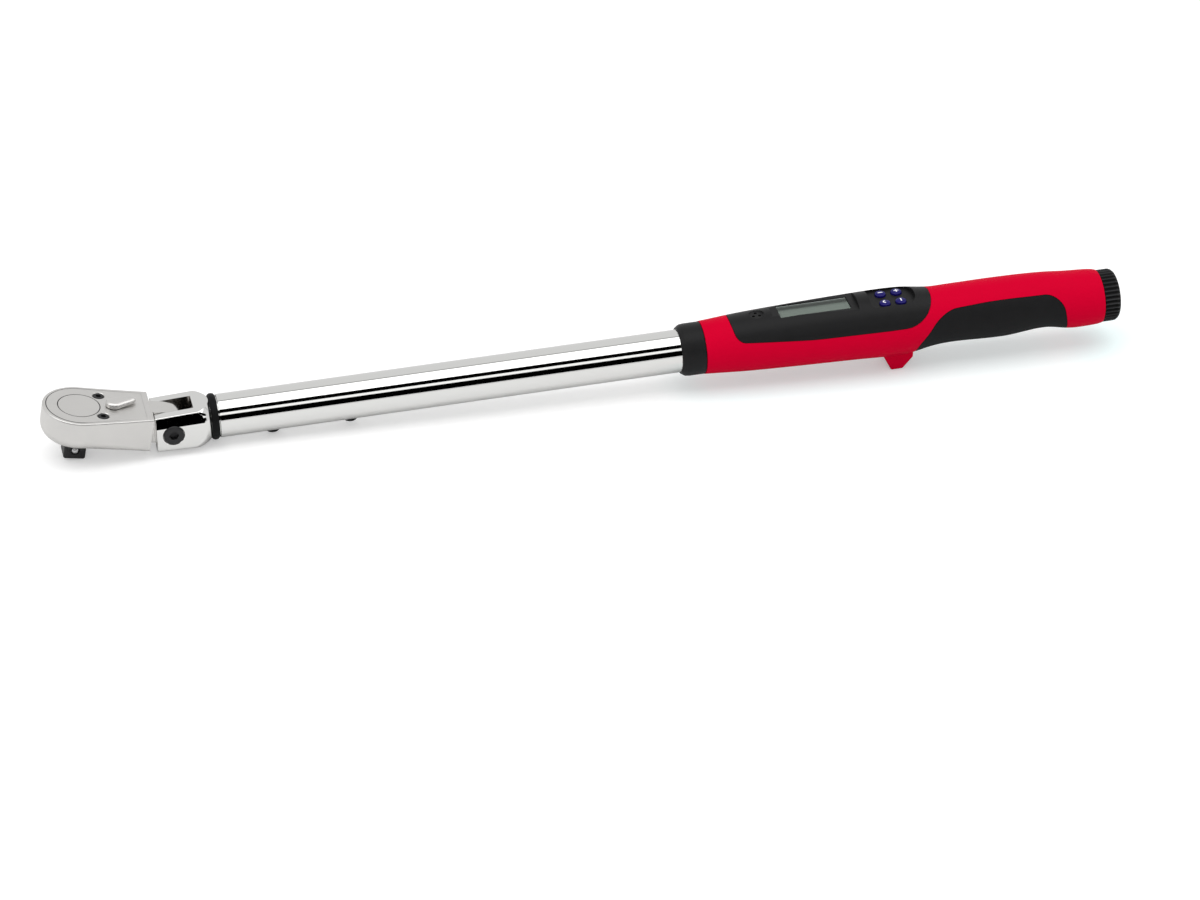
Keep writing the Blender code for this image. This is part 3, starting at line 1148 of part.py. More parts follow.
SATIN = material("satin_nickel", (0.62, 0.60, 0.57), 0.34, 1.0)
CHROME = material("polished_chrome", (0.82, 0.82, 0.83), 0.05, 1.0)
BLACK_STEEL = material("black_oxide_steel", (0.03, 0.03, 0.033), 0.42, 0.7)
BRIGHT_STEEL = material("bright_steel", (0.55, 0.55, 0.56), 0.22, 1.0)
RUBBER = material("black_rubber", (0.02, 0.02, 0.021), 0.7)
SOFT_RUBBER = material("soft_grip_rubber", (0.022, 0.022, 0.023), 0.62)
RED_PLASTIC = material("red_plastic", (0.68, 0.001, 0.03), 0.42)
BLACK_PLASTIC = material("black_plastic", (0.021, 0.021, 0.022), 0.5)
BLUE_RUBBER = material("navy_rubber", (0.012, 0.01, 0.15), 0.3)
LCD_GREY = material("display_glass", (0.2, 0.24, 0.21), 0.25)
CLEAR = material("clear_window", (0.8, 0.85, 0.82), 0.05, 0.0, 0.35)
GREEN_BOARD = material("circuit_board", (0.02, 0.16, 0.05), 0.45)
BRASS = material("brass", (0.6, 0.42, 0.16), 0.3, 1.0)
FOIL = material("gauge_foil", (0.55, 0.35, 0.12), 0.4, 0.4)
WHITE_PLASTIC = material("white_plastic", (0.7, 0.7, 0.66), 0.45)
CELL = material("battery_jacket", (0.1, 0.1, 0.11), 0.35, 0.3)

# The drive's end face is the origin, so the pivot stands where the flexed head puts it
pivot_x = HEAD_REACH * math.cos(FLEX_ANGLE) - DRIVE_END * math.sin(FLEX_ANGLE)
pivot_z = -DRIVE_END * math.cos(FLEX_ANGLE) - HEAD_REACH * math.sin(FLEX_ANGLE)
TOOL = empty("tool", None, (pivot_x, 0, pivot_z))
HEAD = empty("head", TOOL, (0, 0, 0), (0, FLEX_ANGLE, 0))
DRIVE_AXIS = empty("drive_axis", HEAD, (-HEAD_REACH, 0, 0))
LEVER_AXIS = empty("lever_axis", HEAD, (LEVER_X, 0, 0), (0, 0, LEVER_THROW))
PAWL_AXIS = empty("pawl_axis", HEAD, (LEVER_X, 0, 0), (0, 0, PAWL_SWING))
CAP_AXIS = empty("cap_axis", TOOL, (0, 0, -BATTERY_DROP))

ratchet_housing()
cover_plate()
cover_screws()
drive_gear()
socket_ball()
reverser_lever()
pawl()
friction_washers()
flex_yoke()
pivot_screw()
dust_seal()
lever_tube()
torque_beam()
strain_gauges()
gauge_cable()
tube_screws()
tube_collar()
handle_housing()
grip_insert()
display_panel()
buttons()
electronics()
batteries()
battery_cap()
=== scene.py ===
"""The digital torque wrench's finished surfaces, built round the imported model, and its studio.

Lengths are in metres. The tool's own frame has the flex pivot as its zero and +X along the tube, and
the head's frame is the same one turned by the flex angle. Shapes are drawn in those frames and then
carried to the model's place, so every finished object sits at the origin.
"""

import json
import math

import bmesh
import bpy
from bpy.props import FloatProperty, FloatVectorProperty, IntProperty, PointerProperty
from mathutils import Matrix, Vector


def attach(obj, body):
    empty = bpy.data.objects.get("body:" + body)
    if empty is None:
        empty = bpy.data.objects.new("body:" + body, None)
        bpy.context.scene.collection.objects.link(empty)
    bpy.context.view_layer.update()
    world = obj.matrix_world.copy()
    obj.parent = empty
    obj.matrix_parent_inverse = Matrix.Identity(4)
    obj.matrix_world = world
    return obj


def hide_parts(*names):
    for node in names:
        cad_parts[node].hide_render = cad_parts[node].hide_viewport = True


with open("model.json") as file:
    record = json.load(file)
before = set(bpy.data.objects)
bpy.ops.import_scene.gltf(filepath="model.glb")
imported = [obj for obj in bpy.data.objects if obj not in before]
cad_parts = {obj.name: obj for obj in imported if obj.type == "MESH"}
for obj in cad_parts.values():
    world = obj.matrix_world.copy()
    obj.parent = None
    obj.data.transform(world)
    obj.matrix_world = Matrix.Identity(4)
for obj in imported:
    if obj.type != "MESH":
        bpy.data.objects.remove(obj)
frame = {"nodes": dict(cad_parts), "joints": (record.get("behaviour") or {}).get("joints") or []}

bl_info = {
    "name": "Digital torque wrench",
    "version": (1, 0, 0),
    "blender": (4, 5, 0),
    "location": "3D View > Sidebar > Torque Wrench",
    "description": "Builds the finished surfaces of a flex-head digital torque wrench and its studio",
    "category": "Add Mesh",
}

MM = 0.001
BEYOND = 40 * MM  # clear of every shape, for cutters that pass right through
TOUCH = 1e-7  # closer than this, two places are one
JOINTS = {joint["name"]: joint for joint in frame["joints"]}
DRIVE_LINE = Vector(JOINTS["drive_spin"]["axis"])
FLEX_ANGLE = math.atan2(DRIVE_LINE.x, DRIVE_LINE.z)
TOOL = Matrix.Translation(JOINTS["head_flex"]["pos_m"])
HEAD = TOOL @ Matrix.Rotation(FLEX_ANGLE, 4, "Y")
ALONG_X = Matrix.Rotation(math.pi / 2, 4, "Y")
ALONG_Y = Matrix.Rotation(-math.pi / 2, 4, "X")
SIDE_VIEW = Matrix.Rotation(math.pi / 2, 4, "X")
END_VIEW = Matrix(((0, 0, 1), (1, 0, 0), (0, 1, 0))).to_4x4()


def span(node, place):
    """Lowest and highest corner of a CAD node in the frame that the matrix gives."""
    back = place.inverted()
    corners = [back @ vertex.co for vertex in frame["nodes"][node].data.vertices]
    low = Vector([min(corner[i] for corner in corners) for i in range(3)])
    high = Vector([max(corner[i] for corner in corners) for i in range(3)])
    return low, high


# Places and sizes read from the model, in the tool's frame
TUBE_LOW, TUBE_HIGH = span("lever_tube", TOOL)
SEAL_LOW, SEAL_HIGH = span("dust_seal", TOOL)
COLLAR_LOW, COLLAR_HIGH = span("tube_collar", TOOL)
HANDLE_LOW, HANDLE_HIGH = span("handle_housing", TOOL)
PANEL_LOW, PANEL_HIGH = span("display_panel", TOOL)
GRIP_HIGH = span("grip_insert", TOOL)[1]
LENS_LOW, LENS_HIGH = span("display_lens", TOOL)
CAP_LOW, CAP_HIGH = span("battery_cap", TOOL)
YOKE_LOW, YOKE_HIGH = span("flex_yoke", TOOL)
PIVOT_LOW, PIVOT_HIGH = span("pivot_screw", TOOL)
TUBE_RADIUS = TUBE_HIGH.y
CAP_MIDDLE = (CAP_LOW.z + CAP_HIGH.z) / 2
DISPLAY_MIDDLE = (LENS_LOW.y + LENS_HIGH.y) / 2
HANDLE_START = HANDLE_LOW.x
HANDLE_END = HANDLE_HIGH.x

# The same in the head's frame
LEVER_PLACE = HEAD.inverted() @ Vector(JOINTS["reverser_turn"]["pos_m"])
DRIVE_X = (HEAD.inverted() @ Vector(JOINTS["drive_spin"]["pos_m"])).x
DRIVE_END = span("drive_gear", HEAD)[0].z
NOSE_RADIUS = span("ratchet_housing", HEAD)[1].y
COVER_TAIL = span("cover_plate", HEAD)[1].x
SHOULDER_X = COVER_TAIL + 3.5 * MM

# Places and sizes that no box of a piece gives, the first three in the tool's frame
GRIP_SPAN = (GRIP_HIGH.x - 105 * MM, GRIP_HIGH.x + 5 * MM)
STOP_TIP_X = 429.2 * MM
NECK_STEP = 0.15 * MM
HEAD_BOTTOM = -9.75 * MM
DRIVE_BORE = 10.6 * MM
DRIVE_HEEL = 6.35 * MM
# Painted shade for the cover's engraved ring groove and its seam
GROOVE_SHADE_TONE = (0.13, 0.13, 0.13)
# Painted shade for the walls inside the yoke's slot
SLOT_SHADE_TONE = (0.20, 0.185, 0.175)
SIGN_TONE = (0.85, 0.85, 0.88)
FLOOR_TONE = (0.78, 0.78, 0.78)
# Floor tone under the handle, painted less red to cancel the red bounce light
FLOOR_TONE_AGAINST_RED_BOUNCE = (0.62, 0.78, 0.78)


# Properties

def length(name, description, millimetres):
    """A size property, whose default is given in millimetres."""
    return FloatProperty(
        name=name, description=description, default=millimetres * MM, min=0.0, unit="LENGTH", precision=4
    )


def colour(name, description, value):
    """A colour property in linear light."""
    return FloatVectorProperty(
        name=name, description=description, default=value, size=3, min=0.0, max=1.0, subtype="COLOR"
    )


def number(name, description, value, unit="NONE"):
    """A plain number property."""
    return FloatProperty(name=name, description=description, default=value, unit=unit)


class HeadSizes(bpy.types.PropertyGroup):
    """Sizes of the ratchet head."""

    thickness: length("Thickness", "Height of the head on the drive axis", 19.5)
    rise: length("Shoulder rise", "How far each face flares out towards the flex joint", 1.0)
    shoulder_width: length("Shoulder width", "Width of the head where it meets the flex joint", 32)
    belly_round: length("Belly rounding", "Radius of the lower rim round the nose", 8.5)
    tail_round: length("Tail rounding", "Radius of the lower rim at the shoulder", 1.5)
    edge_round: length("Upper rounding", "Radius of the head's upper rim", 0.9)
    tongue_thickness: length("Tongue thickness", "Thickness of the flex tongue", 12.4)
    tongue_radius: length("Tongue radius", "Radius of the flex tongue's round end", 10.2)
    cover_margin: length("Cover margin", "Rim left round the cover plate", 2.3)
    cover_depth: length("Cover thickness", "Thickness of the cover plate", 2.8)
    cover_gap: length("Cover seam", "Seam round the nose of the cover plate", 0.3)
    cover_fit: length("Cover fit", "Seam at the cover plate's tail", 0.04)
    ring_radius: length("Ring radius", "Radius of the line engraved in the cover", 12.1)
    ring_width: length("Ring width", "Width of the engraved line", 0.6)
    screw_forward: length("Screw forward", "Cover screws behind the drive axis", 12.7)
    screw_side: length("Screw side", "Cover screws from the head's middle", 11)
    screw_head: length("Screw head", "Diameter of a cover screw's head", 6.5)
    lever_boss: length("Lever boss", "Radius of the reversing lever's boss", 4.7)
    lever_arm: length("Lever arm", "Length of the lever from its axis", 13.8)
    lever_tip: length("Lever tip", "Radius of the lever's tip", 3.3)
    lever_height: length("Lever height", "Height of the lever above the cover", 3.0)
    lever_undercut: length("Lever undercut", "Clearance under the lever's tip beyond its rise", 0.7)
    lever_rise: length("Lever rise", "How far the arm rises to its tip", 0.5)


class DriveSizes(bpy.types.PropertyGroup):
    """Sizes of the square drive and the ratchet gear."""

    square: length("Drive square", "Size across the square's flats", 12.7)
    chamfer: length("Drive chamfer", "Chamfer of the square's edges", 1.3)
    journal: length("Journal radius", "Radius of the round neck above the square", 10.3)
    gear_radius: length("Gear radius", "Radius over the ratchet gear's teeth", 12.6)
    tooth_depth: length("Tooth depth", "Depth of the ratchet gear's teeth", 0.9)
    gear_teeth: IntProperty(name="Teeth", description="Teeth on the ratchet gear", default=72, min=12)
    ball_radius: length("Ball radius", "Radius of the socket ball", 2.4)
    ball_drop: length("Ball drop", "Ball below the head", 7.0)


class YokeSizes(bpy.types.PropertyGroup):
    """Sizes of the flex yoke and its pivot screw."""

    height: length("Height", "Height of the yoke at its front", 21.8)
    rear_height: length("Rear height", "Height of the yoke at its rear", 24.4)
    facet_across: length("Facet across", "Width of the slanted facet along the upper edges", 2.6)
    facet_height: length("Facet height", "Height of the slanted facet along the upper edges", 6.4)
    edge_round: length("Edge rounding", "Radius of the yoke's lower edges", 3.0)
    front_round: length("Front rounding", "Radius of the fork's front edges", 1.4)
    window_end: length("Window end", "End of the slot behind the pivot", 13)
    neck_radius: length("Neck radius", "Radius of the neck under the rubber seal", 11.3)
    hex_size: length("Pivot hexagon", "Key size of the pivot screw", 5)


class HandleSizes(bpy.types.PropertyGroup):
    """Sizes of the handle, its display panel and its grip."""

    electronics: length("Electronics length", "Length of the handle's front part", 120.7)
    stop_width: length("Stop width", "Width of the hand stop", 17.5)
    stop_length: length("Stop length", "Length of the hand stop at its root", 22)
    stop_tip: length("Stop tip", "Length of the hand stop's flat tip", 7)
    stop_forward: length("Stop forward", "Hand stop's front before the end of the electronics", 12)
    grip_depth: length("Grip thickness", "Thickness of the soft grip", 2.4)
    seam: length("Seam", "Seam between the handle's mouldings", 0.25)
    deck_height: length("Deck height", "Height of the flat round the display", 17)
    deck_margin: length("Deck margin", "Flat left before and behind the display", 4.5)
    lens_near: length("Window's near side", "How far the window's near side is widened", 0.8)
    lens_ledge: length("Window ledge", "Ledge that carries the display window", 1.4)
    pocket_floor: length("Key pocket floor", "Height of the floor round the keys", 15.5)
    buzzer_place: length("Sound holes", "Sound holes behind the handle's front", 33.2)
    key_forward: length("Keys forward", "Middle of the keys before the end of the electronics", 5.7)
    key_along: length("Key pitch along", "Distance between the keys along the handle", 9.7)
    key_across: length("Key pitch across", "Distance between the keys across the handle", 10.5)
    key_diameter: length("Key diameter", "Diameter of one key", 6.5)
    cap_ribs: IntProperty(name="Cap ribs", description="Ribs round the battery cap", default=36, min=8)
    cap_rib_depth: length("Rib depth", "Depth of the grooves round the battery cap", 1.0)


class FinishColours(bpy.types.PropertyGroup):
    """Base colours of the visible finishes."""

    satin: colour("Satin nickel", "Bead-blasted plating of the head", (0.695, 0.685, 0.667))
    chrome: colour("Chrome", "Polished plating of yoke and tube", (0.79, 0.79, 0.775))
    black_steel: colour("Black oxide", "Screws and square drive", (0.014, 0.014, 0.015))
    red: colour("Red plastic", "Handle housing", (0.58, 0.0, 0.024))
    black: colour("Black plastic", "Panel, collar and cap", (0.0095, 0.0095, 0.010))
    grip: colour("Grip rubber", "Soft grip insert", (0.0085, 0.0085, 0.009))
    navy: colour("Key rubber", "The four keys", (0.006, 0.003, 0.115))
    display: colour("Display", "Liquid crystal glass", (0.17, 0.205, 0.18))


class StageSettings(bpy.types.PropertyGroup):
    """Camera and light of the studio."""

    azimuth: number("Azimuth", "Camera round the tool in degrees", -12.28)
    elevation: number("Elevation", "Camera above the tool in degrees", 33.21)
    roll: number("Roll", "Camera turned about its view in degrees", -1.43)
    distance: number("Distance", "Camera from its target", 2.6616, "LENGTH")
    lens: number("Lens", "Focal length in millimetres", 135.0, "CAMERA")
    softbox: number("Softbox", "Brightness of the overhead softbox", 1.15)
    fill: number("Fill", "Brightness of the front fill light", 0.35)
    room: number("Room", "Brightness of the pale room", 0.78)


# Shader building

class Value:
    """A shader output. Plain maths on it adds the Math nodes."""

    def __init__(self, finish, socket):
        self.finish = finish
        self.socket = socket

    def math(self, operation, *others):
        """A Math node on this value and any others."""
        values = dict(enumerate((self, *others)))
        return self.finish.node("ShaderNodeMath", {"operation": operation}, values)

    def __add__(self, other):
        return self.math("ADD", other)

    def __sub__(self, other):
        return self.math("SUBTRACT", other)

    def __rsub__(self, other):
        return self * -1 + other

    def __mul__(self, other):
        return self.math("MULTIPLY", other)

    def __abs__(self):
        return self.math("ABSOLUTE")

    __radd__ = __add__
    __rmul__ = __mul__


class Finish:
    """A material under construction, with one method for every node."""

    def __init__(self, name, tree=None):
        self.material = None
        if tree is None:
            self.material = bpy.data.materials.new(name)
            self.material.use_nodes = True
            tree = self.material.node_tree
        self.tree = tree
        self.shader = tree.nodes.get("Principled BSDF")

    def node(self, kind, settings, values, output=0):
        """A node with its settings and the values or links of its sockets. Gives one output."""
        made = self.tree.nodes.new(kind)
        for key, value in settings.items():
            setattr(made, key, value)
        for key, value in values.items():
            self.feed(made.inputs[key], value)
        return Value(self, made.outputs[output])

    def feed(self, socket, value):
        """Link a shader value to a socket, or set a plain one on it."""
        if isinstance(value, Value):
            self.tree.links.new(value.socket, socket)
        else:
            socket.default_value = value

    def surface(self, **values):
        """Feed the Principled shader's sockets, named with _ for a space. Gives the material."""
        for key, value in values.items():
            self.feed(self.shader.inputs[key.replace("_", " ")], value)
        return self.material

    def place(self, centre=(0, 0, 0), turn=(0, 0, 0)):
        """Object coordinates measured from a centre, in a turned frame."""
        spot = self.node("ShaderNodeTexCoord", {}, {}, "Object")
        moved = self.node("ShaderNodeVectorMath", {"operation": "SUBTRACT"}, {0: spot, 1: tuple(centre)})
        settings = {"rotation_type": "EULER_XYZ", "invert": True}
        return self.node("ShaderNodeVectorRotate", settings, {0: moved, "Rotation": turn})

    def axes(self, spot):
        """The three coordinates of a place as values."""
        return [self.node("ShaderNodeSeparateXYZ", {}, {0: spot}, axis) for axis in ("X", "Y", "Z")]

    def noise(self, scale, detail=2.0, roughness=0.5, stretch=(1, 1, 1)):
        """Noise between zero and one in object coordinates."""
        spot = self.node("ShaderNodeTexCoord", {}, {}, "Object")
        if stretch != (1, 1, 1):
            spot = self.node("ShaderNodeVectorMath", {"operation": "MULTIPLY"}, {0: spot, 1: stretch})
        values = {"Vector": spot, "Scale": scale, "Detail": detail, "Roughness": roughness}
        return self.node("ShaderNodeTexNoise", {}, values, "Fac")

    def bump(self, height, depth):
        """A normal raised by a height value."""
        values = {"Strength": 1.0, "Distance": depth, "Height": height}
        return self.node("ShaderNodeBump", {}, values, "Normal")

    def blend(self, share, first, second):
        """A colour between two, each a tuple or a shader value."""
        values = {0: share}
        for socket, tone in ((6, first), (7, second)):
            values[socket] = (*tone, 1.0) if isinstance(tone, tuple) else tone
        return self.node("ShaderNodeMix", {"data_type": "RGBA"}, values, 2)

    def band(self, value, low, high):
        """Zero below low, one above high, with a smooth step between."""
        values = {0: value, 1: low, 2: high}
        return self.node("ShaderNodeMapRange", {"interpolation_type": "SMOOTHSTEP"}, values)

    def under(self, value, low, high):
        """One below low, zero above high."""
        return 1 - self.band(value, low, high)


def shaded(base, factor):
    """A colour made lighter or darker."""
    return tuple(min(1.0, channel * factor) for channel in base)


# Finishes

def cloudy(name, tones, cloud, gloss, grain=None, **constants):
    """A finish of one tone or between two, with clouded gloss, and a fine grain where it has one."""
    made = Finish(name)
    mist = made.noise(*cloud)
    base = made.blend(mist, *tones) if len(tones) == 2 else (*tones, 1.0)
    if grain:
        made.surface(Normal=made.bump(made.noise(*grain[:-1]), grain[-1]))
    return made.surface(Base_Color=base, Roughness=gloss[0] + gloss[1] * mist, **constants)


def satin_nickel(colours):
    """Bead-blasted nickel, more polished on the tongue, with painted shade in the cover's engraved ring
    and its seam.
    """
    made = Finish("satin_nickel")
    cloud = made.noise(90, 3)
    base = made.blend(cloud, shaded(colours.satin, 0.96), shaded(colours.satin, 1.04))
    grain = made.bump(made.noise(5200, 2), 0.000008)
    along = made.axes(made.place(TOOL.translation))[0]
    blasted = made.under(along, SHOULDER_X + MM, SHOULDER_X + 2 * MM)
    gloss = 0.10 + 0.22 * blasted + 0.08 * cloud
    x, y, z = made.axes(made.place(TOOL.translation, (0, FLEX_ANGLE, 0)))
    radius = ((x - DRIVE_X) * (x - DRIVE_X) + y * y).math("SQRT")
    sizes = bpy.context.scene.wrench_head
    line = made.under(abs(radius - sizes.ring_radius), 0.16 * MM, 0.36 * MM)
    rim = NOSE_RADIUS - sizes.cover_margin + 0.1 * MM
    seam = made.under(abs(radius - rim), 0.16 * MM, 0.4 * MM)
    seam = seam * made.under(x, DRIVE_X, DRIVE_X + 4 * MM) * made.under(y, 2 * MM, 14 * MM)
    # Painted shade: the engraved ring groove and the cover's seam are darkened in the base colour
    dark = line.math("MAXIMUM", seam) * made.band(z, 8 * MM, 8.5 * MM)
    base = made.blend(dark, base, GROOVE_SHADE_TONE)
    return made.surface(Base_Color=base, Metallic=1.0, Roughness=gloss, Normal=grain)


def polished_chrome(colours):
    """Mirror chrome with the faint unevenness of hand wiping, with painted shade and more roughness inside
    the yoke's slot.
    """
    made = Finish("polished_chrome")
    along, across, _ = made.axes(made.place(TOOL.translation))
    # Painted shade: inside the slot the chrome is darkened in the base colour, and made rougher
    inside = made.under(abs(across), 6.55 * MM, 6.65 * MM) * made.under(along, 13.1 * MM, 13.3 * MM)
    base = made.blend(inside, tuple(colours.chrome), SLOT_SHADE_TONE)
    wipe = made.noise(35, 4, 0.6, (1, 3, 3))
    grain = made.bump(made.noise(2600, 2), 0.0000006)
    gloss = 0.035 + 0.035 * wipe + 0.2 * inside
    return made.surface(Base_Color=base, Metallic=1.0, Roughness=gloss, Normal=grain)


def black_oxide_steel(colours):
    """Blackened screws and drive."""
    tones = shaded(colours.black_steel, 0.8), shaded(colours.black_steel, 1.3)
    grain = (3500, 2, 0.5, 0.000006)
    constants = {"Specular_IOR_Level": 0.4, "Metallic": 0.2}
    return cloudy("black_oxide_steel", tones, (400, 3), (0.34, 0.14), grain, **constants)


def bright_steel(colours):
    """Ground steel of ball, plunger and springs."""
    return cloudy("bright_steel", (0.62, 0.62, 0.63), (500, 3), (0.14, 0.12), Metallic=1.0)


def red_plastic(colours):
    """Spark-eroded moulding in solid red."""
    tones = shaded(colours.red, 0.97), shaded(colours.red, 1.03)
    grain = (3000, 3, 0.6, 0.000018)
    return cloudy("red_plastic", tones, (120, 2), (0.40, 0.08), grain, Specular_IOR_Level=0.015)


def black_moulding(name, base, roughness, depth, specular):
    """One of the black plastics and rubbers."""
    tones, grain = (shaded(base, 0.85), shaded(base, 1.2)), (2400, 3, 0.6, depth)
    return cloudy(name, tones, (150, 2), (roughness, 0.1), grain, Specular_IOR_Level=specular)


def black_plastic(colours):
    """Panel, collar and cap."""
    return black_moulding("black_plastic", tuple(colours.black), 0.38, 0.000016, 0.14)


def black_rubber(colours):
    """Dust seal and other rubber rings."""
    return black_moulding("black_rubber", shaded(colours.black, 0.5), 0.45, 0.00001, 0.10)


def soft_grip_rubber(colours):
    """Dull rubber of the grip."""
    return black_moulding("soft_grip_rubber", tuple(colours.grip), 0.56, 0.00003, 0.12)


def navy_rubber(colours):
    """Key rubber without a sign."""
    return cloudy("navy_rubber", tuple(colours.navy), (700, 2), (0.22, 0.1), Specular_IOR_Level=0.25)


def display_glass(colours):
    """Reflective liquid crystal: grey-green, with painted shade darkening its far side and a painted
    highlight line there.
    """
    made = Finish("display_glass")
    across = made.axes(made.place())[1]
    # Painted shade: the display is darkened towards its far side
    share = made.band(across, DISPLAY_MIDDLE - 6 * MM, DISPLAY_MIDDLE + 6 * MM)
    base = made.blend(share, shaded(colours.display, 1.1), shaded(colours.display, 0.45))
    # Painted highlight: a pale line near the far edge
    rim = made.band(across, LENS_HIGH.y - 2.0 * MM, LENS_HIGH.y - 1.7 * MM)
    base = made.blend(rim, base, (0.45, 0.5, 0.48))
    made.surface(Specular_IOR_Level=0.2)
    return made.surface(Base_Color=base, Roughness=0.30 + 0.05 * made.noise(6000, 1))


def clear_window(colours):
    """Tinted window, with painted shade darkening its far side and a painted highlight line there."""
    made = Finish("clear_window")
    across = made.axes(made.place())[1]
    # Painted shade: the tint is darkened towards the far side
    shade = made.band(across, DISPLAY_MIDDLE - 0.6 * MM, DISPLAY_MIDDLE + 2.4 * MM)
    tint = made.blend(shade, shaded(colours.display, 1.12), shaded(colours.display, 0.3))
    # Painted highlight: a pale line near the far edge
    rim = made.band(across, LENS_HIGH.y - 0.8 * MM, LENS_HIGH.y - 0.6 * MM)
    tint = made.blend(rim, tint, (0.4, 0.44, 0.42))
    made.surface(Alpha=0.6, Specular_IOR_Level=0.3)
    return made.surface(Base_Color=tint, Roughness=0.06 + 0.03 * made.noise(200, 2))


def circuit_board(colours):
    """Green solder mask over the weave of the board."""
    made = Finish("circuit_board")
    weave = made.node("ShaderNodeTexBrick", {}, {"Scale": 900.0, "Mortar Size": 0.03}, "Fac")
    base = made.blend(weave, (0.015, 0.14, 0.045), (0.03, 0.22, 0.08))
    return made.surface(Base_Color=base, Roughness=0.35 + 0.1 * weave)


def brass(colours):
    """Contacts and bushes."""
    tones = (0.58, 0.40, 0.14), (0.68, 0.48, 0.2)
    return cloudy("brass", tones, (600, 3), (0.22, 0.15), Metallic=1.0)


def gauge_foil(colours):
    """Copper grid of the strain gauges on amber film."""
    made = Finish("gauge_foil")
    line = made.node("ShaderNodeTexWave", {"bands_direction": "Z"}, {"Scale": 900.0}, "Fac")
    base = made.blend(line, (0.5, 0.3, 0.09), (0.62, 0.45, 0.2))
    return made.surface(Base_Color=base, Metallic=0.4, Roughness=0.3 + 0.1 * line)


def white_plastic(colours):
    """Plug and contact carrier."""
    return cloudy("white_plastic", (0.7, 0.7, 0.66), (300, 2), (0.4, 0.1))


def battery_jacket(colours):
    """Plain dark jacket of the cells."""
    tones = (0.05, 0.05, 0.055), (0.08, 0.08, 0.085)
    return cloudy("battery_jacket", tones, (200, 2), (0.28, 0.08), Metallic=0.3)


MAKERS = (
    satin_nickel, polished_chrome, black_oxide_steel, bright_steel, black_rubber, soft_grip_rubber,
    red_plastic, black_plastic, navy_rubber, display_glass, clear_window, circuit_board, brass,
    gauge_foil, white_plastic, battery_jacket,
)
FINISHES = {}


# Shape building

def flat(corners, rounds=()):
    """A flat face through the corners, each rounded to its radius where one is given."""
    shape = bmesh.new()
    made = [shape.verts.new((*corner, 0)) for corner in corners]
    edges = [shape.edges.new(pair) for pair in zip(made, made[1:] + made[:1])]
    bmesh.ops.edgeloop_fill(shape, edges=edges)
    for vertex, radius in zip(made, rounds):
        if radius:
            first, second = [edge.other_vert(vertex).co - vertex.co for edge in vertex.link_edges]
            reach = radius / math.tan(first.angle(second) / 2)
            round_off(shape, [vertex], reach, 10, "VERTICES")
    return shape


def round_off(shape, geometry, width, segments, affect="EDGES"):
    """Bevel edges or corners to a round."""
    bmesh.ops.bevel(
        shape, geom=geometry, offset=width, segments=segments, profile=0.5, affect=affect, material=-1,
        clamp_overlap=True,
    )


def raise_to(shape, low, high):
    """Turn a flat outline into a slab between two heights."""
    grown = bmesh.ops.extrude_face_region(shape, geom=shape.faces[:])
    top = [item for item in grown["geom"] if isinstance(item, bmesh.types.BMVert)]
    bmesh.ops.translate(shape, vec=(0, 0, high - low), verts=top)
    bmesh.ops.translate(shape, vec=(0, 0, low), verts=shape.verts)
    bmesh.ops.recalc_face_normals(shape, faces=shape.faces)
    return shape


def slab(corners, low, high, rounds=()):
    """An outline of (x, y) corners raised between two heights."""
    return raise_to(flat(corners, rounds), low, high)


def side_slab(corners, half_width, rounds=()):
    """A side-view outline of (x, z) corners carried across the width."""
    return turn(slab(corners, -half_width, half_width, rounds), SIDE_VIEW)


def block(low, high):
    """A box between two corners."""
    shape = bmesh.new()
    bmesh.ops.create_cube(shape, size=1.0)
    size = Vector(high) - Vector(low)
    bmesh.ops.scale(shape, vec=size, verts=shape.verts)
    bmesh.ops.translate(shape, vec=(Vector(high) + Vector(low)) / 2, verts=shape.verts)
    return shape


def lathe(profile, sides=96, rounds=()):
    """A turned solid about Z from a closed (radius, height) outline with rounded corners."""
    shape = flat(profile, rounds)
    bmesh.ops.delete(shape, geom=shape.faces[:], context="FACES_ONLY")
    on_axis = [edge for edge in shape.edges if max(abs(v.co.x) for v in edge.verts) < 1e-9]
    bmesh.ops.delete(shape, geom=on_axis, context="EDGES_FACES")
    bmesh.ops.rotate(shape, matrix=SIDE_VIEW, verts=shape.verts)
    bmesh.ops.spin(
        shape, geom=shape.verts[:] + shape.edges[:], cent=(0, 0, 0), axis=(0, 0, 1), dvec=(0, 0, 0),
        angle=2 * math.pi, steps=sides, use_merge=True,
    )
    bmesh.ops.remove_doubles(shape, verts=shape.verts, dist=0.000001)
    bmesh.ops.recalc_face_normals(shape, faces=shape.faces)
    return shape


def stack(low, *steps):
    """Outline of cylinders on one another. Each step gives a radius and its upper end."""
    points = [(0, low)]
    for radius, high in steps:
        points += [(radius, points[-1][1]), (radius, high)]
    return points + [(0, points[-1][1])]


def rod(radius, low, high, sides=48):
    """A cylinder about Z."""
    return lathe(stack(low, (radius, high)), sides)


def sleeve(inner, outer, low, high, sides, rounds):
    """A turned ring about X with rounded corners."""
    corners = [(inner, low), (outer, low), (outer, high), (inner, high)]
    return turn(lathe(corners, sides, rounds), ALONG_X)


def arc(shape, start, centre_x, angle, steps):
    """Spin a vertex about a point of the X axis. Gives the arc's last vertex."""
    swept = bmesh.ops.spin(
        shape, geom=[start], cent=(centre_x, 0, 0), axis=(0, 0, 1), dvec=(0, 0, 0), angle=angle,
        steps=steps,
    )
    return next(item for item in swept["geom_last"] if isinstance(item, bmesh.types.BMVert))


def turn(shape, matrix):
    """The same shape carried by a matrix."""
    bmesh.ops.transform(shape, matrix=matrix, verts=shape.verts)
    return shape


def shift(shape, x=0, y=0, z=0):
    """The same shape moved."""
    return turn(shape, Matrix.Translation((x, y, z)))


